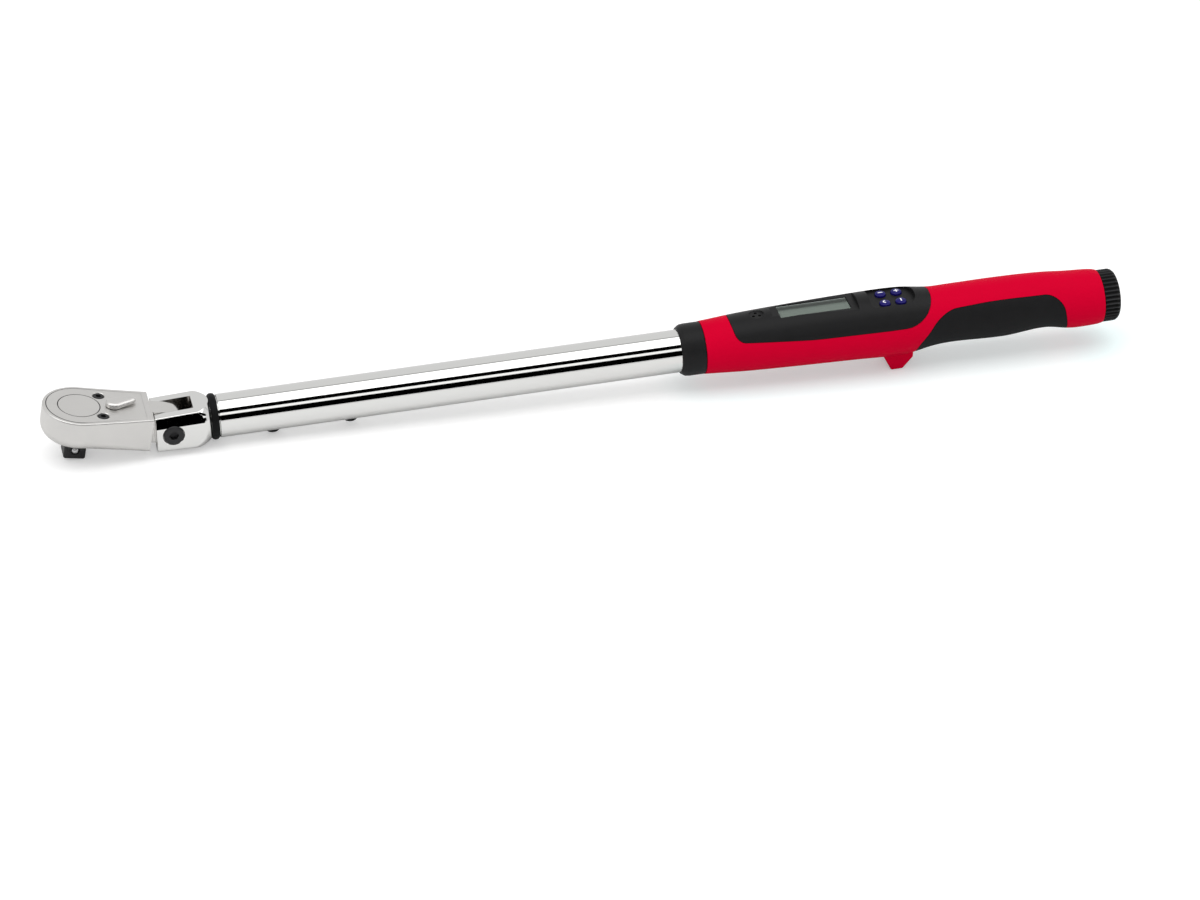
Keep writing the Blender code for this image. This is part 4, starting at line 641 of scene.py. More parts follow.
def soften(shape, width, segments, wanted):
    """Round the edges that the test accepts."""
    round_off(shape, [edge for edge in shape.edges if wanted(edge)], width, segments)
    bmesh.ops.remove_doubles(shape, verts=shape.verts, dist=TOUCH)
    return shape


def as_object(shape, name):
    """A new object that takes the shape over."""
    mesh = bpy.data.meshes.new(name)
    shape.to_mesh(mesh)
    shape.free()
    made = bpy.data.objects.new(name, mesh)
    bpy.context.scene.collection.objects.link(made)
    return made


def joined(target, other, operation="DIFFERENCE"):
    """The target with another solid cut away, added or kept in common. Both shapes are used up."""
    pair = [as_object(target, "shape"), as_object(other, "shape")]
    step = pair[0].modifiers.new("join", "BOOLEAN")
    step.operation = operation
    step.object = pair[1]
    step.solver = "EXACT"
    seen = pair[0].evaluated_get(bpy.context.evaluated_depsgraph_get())
    shape = bmesh.new()
    shape.from_mesh(seen.to_mesh())
    for item in pair:
        mesh = item.data
        bpy.data.objects.remove(item)
        bpy.data.meshes.remove(mesh)
    return shape


def carved(shape, *cutters):
    """The shape with each cutter taken away in turn."""
    for cutter in cutters:
        shape = joined(shape, cutter)
    return shape


def tubed(stations, sides, ring):
    """A closed tube along X. ring(x, angle) gives the radius and the centre's height."""
    shape = bmesh.new()
    bmesh.ops.create_circle(shape, segments=sides, radius=1.0, cap_ends=True)
    bmesh.ops.rotate(shape, matrix=ALONG_X, verts=shape.verts)
    loop = list(shape.verts)
    edges = list(shape.edges)
    angles = [math.atan2(v.co.z, v.co.y) for v in loop]
    centre = 0.0
    for index, x in enumerate(stations):
        if index:
            grown = bmesh.ops.extrude_edge_only(shape, edges=edges)["geom"]
            edges = [item for item in grown if isinstance(item, bmesh.types.BMEdge)]
            edges = [e for e in edges if all(v in grown for v in e.verts)]
            loop = [item for item in grown if isinstance(item, bmesh.types.BMVert)]
            angles = [math.atan2(v.co.z - centre, v.co.y) for v in loop]
        for vertex, angle in zip(loop, angles):
            radius, centre = ring(x, angle)
            vertex.co = (x, radius * math.cos(angle), centre + radius * math.sin(angle))
    bmesh.ops.contextual_create(shape, geom=edges)
    bmesh.ops.recalc_face_normals(shape, faces=shape.faces)
    return shape


def piece(shape, name, body, slot, *nodes, place=TOOL, sharp=32):
    """A finished object from a shape, riding on a body and standing for its CAD nodes."""
    made = as_object(turn(shape, place), name)
    made.data.shade_smooth()
    made.data.set_sharp_from_angle(angle=math.radians(sharp))
    made.data.materials.append(FINISHES[slot])
    normals = made.modifiers.new("normals", "WEIGHTED_NORMAL")
    normals.keep_sharp = True
    normals.weight = 60
    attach(made, body)
    if nodes:
        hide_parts(*nodes)
    return made


# Handle form

# Share of the part's length, wall over the tube and drop of the centre at each driving section
ELECTRONICS_SECTIONS = (
    (0.000, 3.00 * MM, 0.0 * MM),
    (0.238, 4.95 * MM, 0.0 * MM),
    (0.746, 7.00 * MM, 0.2 * MM),
    (1.000, 7.40 * MM, 0.7 * MM),
)
GRIP_END_SECTIONS = (
    (0.155, 4.90 * MM, 0.4 * MM),
    (0.252, 4.60 * MM, 0.1 * MM),
    (0.504, 5.10 * MM, 0.6 * MM),
    (0.712, 3.90 * MM, 0.0 * MM),
    (0.847, 4.50 * MM, 2.3 * MM),
    (0.970, 4.00 * MM, 2.9 * MM),
    (1.000, 3.30 * MM, 3.1 * MM),
)


def handle_sections(sizes):
    """The driving sections of both parts, with their places along the tool."""
    front = HANDLE_START + sizes.electronics
    rows = [(HANDLE_START + share * sizes.electronics, *rest) for share, *rest in ELECTRONICS_SECTIONS]
    return rows + [(front + share * (HANDLE_END - front), *rest) for share, *rest in GRIP_END_SECTIONS]


def handle_ring(sizes, x, offset):
    """Radius and centre height of the handle at x, smooth through the driving sections."""
    rows = handle_sections(sizes)
    place = min(max(x, HANDLE_START), HANDLE_END)
    last = len(rows) - 1
    index = max(i for i in range(last) if rows[i][0] <= place + 1e-9)
    near = [rows[max(index - 1, 0)], rows[index], rows[index + 1], rows[min(index + 2, last)]]
    width = near[2][0] - near[1][0]
    t = (place - near[1][0]) / width
    values = []
    for column in (1, 2):
        start, end = near[1][column], near[2][column]
        into = (end - near[0][column]) / (near[2][0] - near[0][0]) * width
        out = (near[3][column] - start) / (near[3][0] - near[1][0]) * width
        rise = (2 * t**3 - 3 * t**2 + 1) * start + (t**3 - 2 * t**2 + t) * into
        values.append(rise + (3 * t**2 - 2 * t**3) * end + (t**3 - t**2) * out)
    return TUBE_RADIUS + values[0] + offset, -values[1]


def handle_form(sizes, start, end, offset=0.0, pitch=2.2 * MM, sides=88):
    """The handle's outer form between two places, grown or shrunk by the offset."""
    count = max(2, round((end - start) / pitch))
    stations = [start + (end - start) * i / count for i in range(count + 1)]
    rings = {x: handle_ring(sizes, x, offset) for x in stations}
    return tubed(stations, sides, lambda x, angle: rings[x])


def panel_outline(grown):
    """The panel's outline in side view, carried across the handle."""
    front, end = PANEL_LOW.x - grown, PANEL_HIGH.x + 0.4 * MM + grown
    corners = [
        (front - 9.7 * MM, BEYOND), (front - 0.4 * MM, 8.6 * MM - grown),
        (PANEL_LOW.x + 45 * MM, 5.6 * MM - grown), (end, 5.0 * MM - grown), (end, BEYOND),
    ]
    return side_slab(corners, BEYOND, (0, 6.5 * MM, 120 * MM, 20 * MM, 0))


def grip_outline(grown):
    """The grip's outline in side view, carried across the handle."""
    start, end = GRIP_HIGH.x - 97.5 * MM - grown, GRIP_HIGH.x + grown
    corners = [
        (start - MM, -BEYOND), (start, -9.5 * MM), (start + 15.4 * MM, 10.3 * MM + grown),
        (start + 50 * MM, 11.9 * MM + grown), (end - 7.6 * MM, 10.4 * MM + grown), (end - 6.6 * MM, -MM),
        (end - 3 * MM, -GRIP_HIGH.y - 2 * MM), (end - 3 * MM, -BEYOND),
    ]
    return side_slab(corners, BEYOND, (0, 14 * MM, 20 * MM, 260 * MM, 13 * MM, 20 * MM, 0, 0))


# Head pieces

def teardrop(radius, tail_x, tail_half):
    """Flat teardrop round the drive axis with a square tail. The nose is a spun arc."""
    reach = tail_x - DRIVE_X
    touch = math.atan2(tail_half, reach) + math.acos(radius / math.hypot(reach, tail_half))
    shape = bmesh.new()
    start = shape.verts.new((DRIVE_X + radius * math.cos(touch), radius * math.sin(touch), 0))
    end = arc(shape, start, DRIVE_X, 2 * (math.pi - touch), 96)
    tail = [shape.verts.new((tail_x, side * tail_half, 0)) for side in (-1, 1)]
    for pair in ((end, tail[0]), (tail[0], tail[1]), (tail[1], start)):
        shape.edges.new(pair)
    bmesh.ops.edgeloop_fill(shape, edges=shape.edges[:])
    return shape


def flared(shape, sizes, tail_x):
    """Thicken a flat head piece smoothly from the drive axis to the shoulder."""
    steps = 14
    for i in range(steps):
        x = DRIVE_X + (tail_x - DRIVE_X) * i / steps
        geometry = shape.verts[:] + shape.edges[:] + shape.faces[:]
        bmesh.ops.bisect_plane(shape, geom=geometry, dist=TOUCH, plane_co=(x, 0, 0), plane_no=(1, 0, 0))
    for vertex in shape.verts:
        share = min(max((vertex.co.x - DRIVE_X) / (tail_x - DRIVE_X), 0.0), 1.0)
        vertex.co.z *= 1 + share**1.4 * sizes.rise / (sizes.thickness / 2)
    return shape


class WRENCH_OT_ratchet_housing(bpy.types.Operator):
    """Forged ratchet housing with its flex tongue and the recess for the cover"""

    bl_idname = "torque_wrench.ratchet_housing"
    bl_label = "Ratchet housing"

    def execute(self, context):
        sizes = context.scene.wrench_head
        half = sizes.thickness / 2
        body = self.outer_form(sizes, half)
        recess = teardrop(
            NOSE_RADIUS - sizes.cover_margin + sizes.cover_gap, COVER_TAIL + sizes.cover_fit,
            sizes.shoulder_width / 2 - sizes.cover_margin + sizes.cover_fit,
        )
        bore = shift(rod(DRIVE_BORE, -BEYOND, 0, 96), DRIVE_X)
        body = carved(body, raise_to(recess, half - sizes.cover_depth, BEYOND), bore)
        body = joined(body, self.tongue(sizes, half), "UNION")
        flared(body, sizes, SHOULDER_X)
        ceiling = span("ratchet_housing", TOOL)[1].z
        for vertex in body.verts:
            over = (TOOL.inverted() @ HEAD @ vertex.co).z - ceiling
            vertex.co.z -= max(0.0, over) / math.cos(FLEX_ANGLE)
        piece(body, "ratchet_housing_forged", "head", "satin_nickel", "ratchet_housing", place=HEAD)
        return {"FINISHED"}

    def outer_form(self, sizes, half):
        """Teardrop with rounded rims, built longer than needed and cut off at the shoulder."""
        end = SHOULDER_X + 4 * MM
        end_half = sizes.shoulder_width / 2 - 0.48 * MM
        body = raise_to(teardrop(NOSE_RADIUS, end, end_half), -half, half)
        for height, width, segments in ((-half, sizes.belly_round, 12), (half, sizes.edge_round, 6)):
            on_rim = lambda edge: all(abs(v.co.z - height) < TOUCH for v in edge.verts)
            soften(body, width, segments, on_rim)
        for vertex in body.verts:
            corner = Vector((end, math.copysign(end_half, vertex.co.y), -half))
            away = vertex.co - corner
            if max(abs(away.x), abs(away.y), abs(away.z)) < sizes.belly_round + 0.1 * MM:
                vertex.co = corner + away * (sizes.tail_round / sizes.belly_round)
        trimmed(body, SHOULDER_X)
        return body

    def tongue(self, sizes, half):
        """Flat tongue with a round end, made thinner by what the flare will add."""
        root = SHOULDER_X - 6 * MM
        radius, thick = sizes.tongue_radius, sizes.tongue_thickness / 2
        bar = slab([(root, -radius), (0, -radius), (0, radius), (root, radius)], -thick, thick)
        tongue = joined(bar, rod(radius, -thick, thick, 96), "UNION")
        soften(tongue, 0.5 * MM, 3, lambda edge: rim_edge(edge, thick, root))
        turn(tongue, SIDE_VIEW)
        bmesh.ops.scale(tongue, vec=(1, 1, 1 / (1 + sizes.rise / half)), verts=tongue.verts)
        return tongue


def trimmed(shape, x):
    """Cut off whatever lies beyond x and close the cut."""
    geometry = shape.verts[:] + shape.edges[:] + shape.faces[:]
    cut = bmesh.ops.bisect_plane(
        shape, geom=geometry, dist=TOUCH, plane_co=(x, 0, 0), plane_no=(1, 0, 0), clear_outer=True
    )
    rim = [item for item in cut["geom_cut"] if isinstance(item, bmesh.types.BMEdge)]
    bmesh.ops.edgeloop_fill(shape, edges=rim)


def rim_edge(edge, half, root):
    """Whether an edge lies on a slab's face and not at its root."""
    on_face = all(abs(abs(v.co.z) - half) < TOUCH for v in edge.verts)
    same = edge.verts[0].co.z * edge.verts[1].co.z > 0
    outer = edge.is_manifold and edge.calc_face_angle() > 1
    return on_face and same and outer and max(v.co.x for v in edge.verts) > root + TOUCH


class WRENCH_OT_cover_plate(bpy.types.Operator):
    """Flush cover plate with its engraved ring and two countersunk screws"""

    bl_idname = "torque_wrench.cover_plate"
    bl_label = "Cover plate and screws"

    def execute(self, context):
        sizes = context.scene.wrench_head
        half = sizes.thickness / 2
        under = half - sizes.cover_depth + 0.2 * MM
        margin = sizes.cover_margin
        cover = teardrop(NOSE_RADIUS - margin, COVER_TAIL, sizes.shoulder_width / 2 - margin)
        raise_to(cover, under, half)
        soften(cover, 0.1 * MM, 2, lambda edge: all(v.co.z > half - TOUCH for v in edge.verts))
        ring, wide = sizes.ring_radius, sizes.ring_width / 2
        groove = [(ring - wide, half + 1e-5), (ring, half - 0.5 * MM), (ring + wide, half + 1e-5)]
        cover = carved(cover, shift(lathe(groove, 160), DRIVE_X))
        head, sink = sizes.screw_head / 2, half - 1.9 * MM
        for side in (-1, 1):
            seat = [
                (0, -BEYOND), (1.9 * MM, -BEYOND), (1.9 * MM, sink), (head + 0.15 * MM, sink),
                (head + 0.15 * MM, half - 0.35 * MM), (head + 0.55 * MM, half + 0.05 * MM),
                (head + 0.55 * MM, BEYOND), (0, BEYOND),
            ]
            place = (DRIVE_X + sizes.screw_forward, side * sizes.screw_side)
            cover = carved(cover, shift(lathe(seat, 64), *place))
        cover = carved(cover, shift(rod(3.6 * MM, 0, BEYOND), LEVER_PLACE.x))
        flared(cover, sizes, SHOULDER_X)
        piece(cover, "cover_plate_engraved", "head", "satin_nickel", "cover_plate", place=HEAD)
        top = half - 0.05 * MM
        profile = stack(top - 6 * MM, (1.5 * MM, top - 1.6 * MM), (head, top))
        for side, label in ((-1, "right"), (1, "left")):
            screw = lathe(profile, 64, (0, 0, 0, 0, 0.35 * MM, 0))
            screw = carved(screw, hexagon(3.0 * MM, top - 1.2 * MM, top + MM))
            shift(screw, DRIVE_X + sizes.screw_forward, side * sizes.screw_side, 0.12 * MM)
            name = "cover_screw_" + label
            piece(screw, name + "_socket", "head", "black_oxide_steel", name, place=HEAD)
        return {"FINISHED"}


def hexagon(across, low, high):
    """A hexagonal key recess with a conical floor."""
    shape = rod(across / math.sqrt(3), low, high, 6)
    brim = low + 0.01 * MM
    cone = lathe([(0, low - 0.5 * MM), (across / 2 - 0.1 * MM, brim), (0, brim)], 32)
    return joined(shape, cone, "UNION")


class WRENCH_OT_reverser_lever(bpy.types.Operator):
    """Teardrop reversing lever with its domed boss and rising arm"""

    bl_idname = "torque_wrench.reverser_lever"
    bl_label = "Reversing lever"

    def execute(self, context):
        sizes = context.scene.wrench_head
        base = span("reverser_lever", HEAD)[1].z - sizes.lever_height
        boss, tip, arm = sizes.lever_boss, sizes.lever_tip, sizes.lever_arm - sizes.lever_tip
        lean = math.acos((boss - tip) / arm)
        shape = bmesh.new()
        start = shape.verts.new((boss * math.cos(lean), boss * math.sin(lean), 0))
        first_end = arc(shape, start, 0, 2 * (math.pi - lean), 48)
        other = shape.verts.new((arm + tip * math.cos(lean), -tip * math.sin(lean), 0))
        second_end = arc(shape, other, arm, 2 * lean, 24)
        shape.edges.new((first_end, other))
        shape.edges.new((second_end, start))
        bmesh.ops.edgeloop_fill(shape, edges=shape.edges[:])
        dome = ((0.12, 0.4), (0.28, 0.4), (0.55, 0.4), (0.75, 0.25), (0.75, 0.1))
        raise_to(shape, base, base + sizes.lever_height - sum(rise for _, rise in dome) * MM)
        for inset, rise in dome:
            top = max(shape.faces, key=lambda face: face.calc_center_median().z)
            bmesh.ops.inset_region(shape, faces=[top], thickness=inset * MM, depth=0, use_even_offset=True)
            bmesh.ops.translate(shape, vec=(0, 0, rise * MM), verts=top.verts)
        for vertex in shape.verts:
            along = min(max((vertex.co.x - boss) / (arm - boss), 0.0), 1.2)
            rise = sizes.lever_rise + (sizes.lever_undercut if vertex.co.z < base + TOUCH else 0)
            vertex.co.z += rise * along**1.5
        shape = joined(shape, rod(3.3 * MM, 0, base + MM), "UNION")
        throw = math.radians(JOINTS["reverser_turn"]["range_deg"][0] / -2)
        place = HEAD @ Matrix.Translation((LEVER_PLACE.x, 0, 0)) @ Matrix.Rotation(throw, 4, "Z")
        name = "reverser_lever"
        piece(shape, name + "_sculpted", "reverser", "satin_nickel", name, place=place, sharp=50)
        return {"FINISHED"}


class WRENCH_OT_drive(bpy.types.Operator):
    """Ratchet gear in one piece with the square drive, and the socket ball"""

    bl_idname = "torque_wrench.drive"
    bl_label = "Square drive and ball"

    def execute(self, context):
        sizes = context.scene.wrench_drive
        half = sizes.square / 2
        shape = bmesh.new()
        points = 4 * sizes.gear_teeth
        bmesh.ops.create_circle(shape, segments=points, radius=sizes.gear_radius, cap_ends=True)
        for vertex in shape.verts:
            phase = math.atan2(vertex.co.y, vertex.co.x) * sizes.gear_teeth / (2 * math.pi)
            ramp = abs((phase % 1.0) * 2 - 1)
            vertex.co *= 1 - sizes.tooth_depth / sizes.gear_radius * ramp
        gear = raise_to(shape, HEAD_BOTTOM + 3.3 * MM, -HEAD_BOTTOM - 3.4 * MM)
        neck = stack(HEAD_BOTTOM + 0.3 * MM, (sizes.journal, 0))
        gear = joined(gear, lathe(neck, 128, (0, 0.5 * MM, 0, 0)), "UNION")
        square = block((-half, -half, DRIVE_END), (half, half, 0))
        soften(square, sizes.chamfer, 5, lambda edge: min(v.co.z for v in edge.verts) < -1e-4)
        ball_z = HEAD_BOTTOM - sizes.ball_drop
        wide, narrow = sizes.ball_radius + 0.35 * MM, sizes.ball_radius + 0.1 * MM
        mouth = [(0, -half - MM), (wide, -half - MM), (narrow, -half + 0.25 * MM)]
        mouth += [(narrow, -half + 9 * MM), (0, -half + 9 * MM)]
        square = carved(square, shift(turn(lathe(mouth, 48), ALONG_Y), 0, 0, ball_z))
        gear = joined(gear, square, "UNION")
        place = HEAD @ Matrix.Translation((DRIVE_X, 0, 0))
        piece(gear, "drive_gear_machined", "drive", "black_oxide_steel", "drive_gear", place=place)
        ball = bmesh.new()
        bmesh.ops.create_uvsphere(ball, u_segments=48, v_segments=24, radius=sizes.ball_radius)
        shift(ball, 0, span("socket_ball", place)[0].y + sizes.ball_radius, ball_z)
        piece(ball, "socket_ball_polished", "ball", "bright_steel", "socket_ball", place=place)
        return {"FINISHED"}


# Yoke, seal and tube

class WRENCH_OT_flex_yoke(bpy.types.Operator):
    """Polished fork of the flex joint, its window, shoulders and neck"""

    bl_idname = "torque_wrench.flex_yoke"
    bl_label = "Flex yoke"

    def execute(self, context):
        sizes = context.scene.wrench_yoke
        half, front, rear = YOKE_HIGH.y, YOKE_LOW.x, SEAL_LOW.x - NECK_STEP
        top, across = sizes.height / 2, half - sizes.facet_across
        down = top - sizes.facet_height
        corners = [
            (-half, -top), (half, -top), (half, down), (across, top), (-across, top), (-half, down),
        ]
        rounds = (sizes.edge_round, sizes.edge_round, 3 * MM, 0.8 * MM, 0.8 * MM, 3 * MM)
        yoke = turn(slab(corners, front, rear, rounds), END_VIEW)
        soften(yoke, sizes.front_round, 6, lambda edge: max(v.co.x for v in edge.verts) < front + TOUCH)
        for vertex in yoke.verts:
            share = min(max(vertex.co.x / rear, 0.0), 1.0)
            vertex.co.z *= 1 + share * (sizes.rear_height / sizes.height - 1)
        yoke = joined(yoke, turn(lathe(self.shoulders(sizes, front, rear), 128), ALONG_X), "INTERSECT")
        gap = context.scene.wrench_head.tongue_thickness / 2 + 0.3 * MM
        start, end = front - 5 * MM, sizes.window_end
        slot = [(start, -gap), (end, -gap), (end, gap), (start, gap)]
        seat = 3 * MM - half
        edge = PIVOT_HIGH.x + 0.15 * MM
        hole = [
            (0, -half - MM), (edge + 0.6 * MM, -half - MM), (edge + 0.35 * MM, -half - 0.02 * MM),
            (edge, -half + 0.3 * MM), (edge, seat), (4 * MM, seat), (4 * MM, half - 2.5 * MM),
            (0, half - 2.5 * MM),
        ]
        slot = slab(slot, -BEYOND, BEYOND, (0, 2.6 * MM, 2.6 * MM, 0))
        yoke = carved(yoke, slot, turn(lathe(hole, 96), ALONG_Y))
        piece(yoke, "flex_yoke_polished", "lever", "polished_chrome", "flex_yoke")
        neck = rod(sizes.neck_radius, end + 3 * MM, TUBE_LOW.x, 128)
        piece(turn(neck, ALONG_X), "flex_yoke_neck", "lever", "polished_chrome")
        self.pivot(sizes)
        return {"FINISHED"}

    def shoulders(self, sizes, front, rear):
        """Outline that turns the box's rear corners down towards the neck."""
        start = 9 * MM
        full = 17.6 * MM
        end = sizes.neck_radius + 0.9 * MM
        points = [(0, front - MM), (full, front - MM)]
        for i in range(15):
            share = i / 14
            points.append((end + (full - end) * (1 - share**2.2), start + (rear - start) * share))
        return points + [(0, rear)]

    def pivot(self, sizes):
        """Black domed pivot screw with its hexagonal recess."""
        face = PIVOT_LOW.y
        profile = stack(face, (PIVOT_HIGH.x, face + 3 * MM), (4 * MM, PIVOT_HIGH.y))
        screw = lathe(profile, 96, (0, 0.9 * MM, 0, 0, 0.4 * MM, 0))
        screw = carved(screw, flipped(hexagon(sizes.hex_size, -face - 2.4 * MM, -face + MM)))
        piece(turn(screw, ALONG_Y), "pivot_screw_socket", "lever", "black_oxide_steel", "pivot_screw")


def flipped(shape):
    """The shape turned upside down."""
    return turn(shape, Matrix.Rotation(math.pi, 4, "X"))


class WRENCH_OT_lever_tube(bpy.types.Operator):
    """Rubber seal, chromed lever tube and the two screws under it"""

    bl_idname = "torque_wrench.lever_tube"
    bl_label = "Seal, tube and screws"

    def execute(self, context):
        bore = context.scene.wrench_yoke.neck_radius + 0.05 * MM
        rounds = (0, 1.9 * MM, 1.9 * MM, 0)
        seal = sleeve(bore, SEAL_HIGH.y, SEAL_LOW.x, SEAL_HIGH.x, 128, rounds)
        piece(seal, "dust_seal_ring", "lever", "black_rubber", "dust_seal")
        rounds = (0.3 * MM, 0.5 * MM, 0.3 * MM, 0.3 * MM)
        tube = sleeve(TUBE_RADIUS - 2.2 * MM, TUBE_RADIUS, TUBE_LOW.x, TUBE_HIGH.x, 192, rounds)
        piece(tube, "lever_tube_chromed", "lever", "polished_chrome", "lever_tube")
        for label in ("front", "rear"):
            name = "tube_screw_" + label
            low, high = span(name, TOOL)
            profile = stack(low.z, ((high.x - low.x) / 2, low.z + 1.5 * MM), (2 * MM, high.z))
            screw = lathe(profile, 64, (0, 0.9 * MM, 0.15 * MM, 0, 0, 0))
            screw = carved(screw, flipped(hexagon(2.5 * MM, -low.z - 1.0 * MM, -low.z + MM)))
            shift(screw, (low.x + high.x) / 2)
            piece(screw, name + "_socket", "lever", "black_oxide_steel", name)
        return {"FINISHED"}


class WRENCH_OT_collar(bpy.types.Operator):
    """Black collar where the tube enters the handle"""

    bl_idname = "torque_wrench.collar"
    bl_label = "Tube collar"

    def execute(self, context):
        outer = COLLAR_HIGH.y
        inner = TUBE_RADIUS + 0.15 * MM
        low, high = COLLAR_LOW.x, COLLAR_HIGH.x
        profile = [
            (inner, low), (outer - 1.9 * MM, low), (outer - 0.3 * MM, low + 2.4 * MM),
            (outer, low + 5 * MM), (outer, high), (inner, high),
        ]
        collar = lathe(profile, 128, (0.3 * MM, 0.7 * MM, 1.6 * MM, 3 * MM, 0.3 * MM, 0))
        name = "tube_collar"
        piece(turn(collar, ALONG_X), name + "_moulded", "lever", "black_plastic", name)
        return {"FINISHED"}


# Handle pieces

class WRENCH_OT_handle_housing(bpy.types.Operator):
    """Red moulded handle with its hand stop and the seats of panel and grip"""

    bl_idname = "torque_wrench.handle_housing"
    bl_label = "Handle housing"

    def execute(self, context):
        sizes = context.scene.wrench_handle
        body = handle_form(sizes, HANDLE_START, HANDLE_END)
        body = joined(body, self.hand_stop(sizes), "UNION")
        bore = TUBE_RADIUS + 0.3 * MM
        mouth = stack(
            TUBE_HIGH.x - MM, (7.8 * MM, CAP_LOW.x - 0.3 * MM), (10 * MM, HANDLE_END - 2.3 * MM),
            (12 * MM, HANDLE_END + MM),
        )
        body = carved(
            body,
            carved(grip_outline(sizes.seam), grip_core(sizes, sizes.seam)),
            panel_outline(sizes.seam),
            turn(rod(bore, HANDLE_START - MM, TUBE_HIGH.x, 96), ALONG_X),
            block((PANEL_LOW.x + 12 * MM, -bore, 5 * MM), (PANEL_HIGH.x - 6 * MM, bore, BEYOND)),
            shift(turn(lathe(mouth, 96), ALONG_X), 0, 0, CAP_MIDDLE),
        )
        piece(body, "handle_housing_moulded", "lever", "red_plastic", "handle_housing")
        return {"FINISHED"}

    def hand_stop(self, sizes):
        """Trapezoid stop under the handle, in front of the hand."""
        start = HANDLE_START + sizes.electronics - sizes.stop_forward
        end = start + sizes.stop_length
        tip = start + (sizes.stop_length - sizes.stop_tip) / 3
        corners = [
            (start, 0), (start, -TUBE_RADIUS - 6 * MM), (tip, HANDLE_LOW.z),
            (tip + sizes.stop_tip, HANDLE_LOW.z), (end, -TUBE_RADIUS - 5 * MM), (end, 0),
        ]
        shape = side_slab(corners, sizes.stop_width / 2)
        soften(shape, 0.9 * MM, 5, lambda edge: min(v.co.z for v in edge.verts) < -TUBE_RADIUS)
        return shape


def grip_core(sizes, grown):
    """The handle's form under the grip."""
    return handle_form(sizes, *GRIP_SPAN, -sizes.grip_depth - grown, 4 * MM, 64)


class WRENCH_OT_grip_insert(bpy.types.Operator):
    """Soft grip that wraps the handle from below"""

    bl_idname = "torque_wrench.grip_insert"
    bl_label = "Grip insert"

    def execute(self, context):
        sizes = context.scene.wrench_handle
        grip = joined(handle_form(sizes, *GRIP_SPAN), grip_outline(0), "INTERSECT")
        grip = carved(grip, grip_core(sizes, 0))
        piece(grip, "grip_insert_soft", "lever", "soft_grip_rubber", "grip_insert")
        return {"FINISHED"}


class WRENCH_OT_display_panel(bpy.types.Operator):
    """Black panel with the display opening, the sound holes and the pocket for the keys"""

    bl_idname = "torque_wrench.display_panel"
    bl_label = "Display panel"

    def execute(self, context):
        sizes = context.scene.wrench_handle
        panel = handle_form(sizes, PANEL_LOW.x - 14 * MM, PANEL_HIGH.x + 3 * MM)
        panel = joined(panel, panel_outline(0), "INTERSECT")
        cavity = handle_form(sizes, PANEL_LOW.x + 12 * MM, PANEL_HIGH.x - 6 * MM, -2.2 * MM, 6 * MM, 48)
        cavity = carved(cavity, block((0, -BEYOND, 14.6 * MM), (1, BEYOND, BEYOND)))
        bore = turn(rod(TUBE_RADIUS + 0.3 * MM, HANDLE_START, TUBE_HIGH.x, 96), ALONG_X)
        panel = carved(panel, cavity, bore, *self.display_seat(sizes), self.pocket(sizes))
        for x, y, _ in key_places(sizes):
            panel = carved(panel, shift(rod(sizes.key_diameter / 2 + 0.25 * MM, 10 * MM, BEYOND), x, y))
        x = HANDLE_START + sizes.buzzer_place
        top = handle_ring(sizes, x, 0)[0]
        dish = lathe(stack(top - 0.9 * MM, (4.5 * MM, BEYOND)), 64, (0, 0.5 * MM, 0, 0))
        panel = carved(panel, shift(dish, x))
        pitch = 2.1 * MM
        for angle in (math.radians(90 + 120 * i) for i in range(3)):
            hole = rod(0.95 * MM, top - 1.9 * MM, BEYOND, 24)
            panel = carved(panel, shift(hole, x + pitch * math.cos(angle), pitch * math.sin(angle)))
        piece(panel, "display_panel_moulded", "lever", "black_plastic", "display_panel")
        return {"FINISHED"}

    def display_seat(self, sizes):
        """Cutters of the flat round the display, the window's seat and the opening under it."""
        deck = sizes.deck_height
        start, end = LENS_LOW.x - sizes.deck_margin, LENS_HIGH.x + sizes.deck_margin
        corners = [(start, deck + 0.5 * MM), (end, deck), (end + 2 * MM, BEYOND), (start, BEYOND)]
        fit, ledge = 0.3 * MM, sizes.lens_ledge
        lens = LENS_HIGH.y + fit
        seat = (LENS_LOW.x - fit, -lens - sizes.lens_near, LENS_LOW.z - fit)
        return (
            side_slab(corners, BEYOND),
            block(seat, (LENS_HIGH.x + fit, lens, BEYOND)),
            block(
                (LENS_LOW.x + ledge, -lens + ledge, 11 * MM),
                (LENS_HIGH.x - ledge, lens - ledge, BEYOND),
            ),
        )

    def pocket(self, sizes):
        """Sunken floor round the keys, its far corners well rounded."""
        long = (sizes.key_along + sizes.key_diameter) / 2 + 5.9 * MM
        wide = (sizes.key_across + sizes.key_diameter) / 2 + 1.8 * MM
        x = key_middle(sizes)
        corners = [(x - long, -wide), (x + long, -wide), (x + long, wide), (x - long, wide)]
        return slab(corners, sizes.pocket_floor, BEYOND, (3 * MM, 8 * MM, 8 * MM, 3 * MM))


def key_middle(sizes):
    """Middle of the four keys along the tool."""
    return HANDLE_START + sizes.electronics - sizes.key_forward


def key_places(sizes):
    """Place and name of each key."""
    x = key_middle(sizes)
    along, across = sizes.key_along / 2, sizes.key_across / 2
    return (
        (x - along, across, "power"), (x + along, across, "plus"),
        (x - along, -across, "units"), (x + along, -across, "minus"),
    )


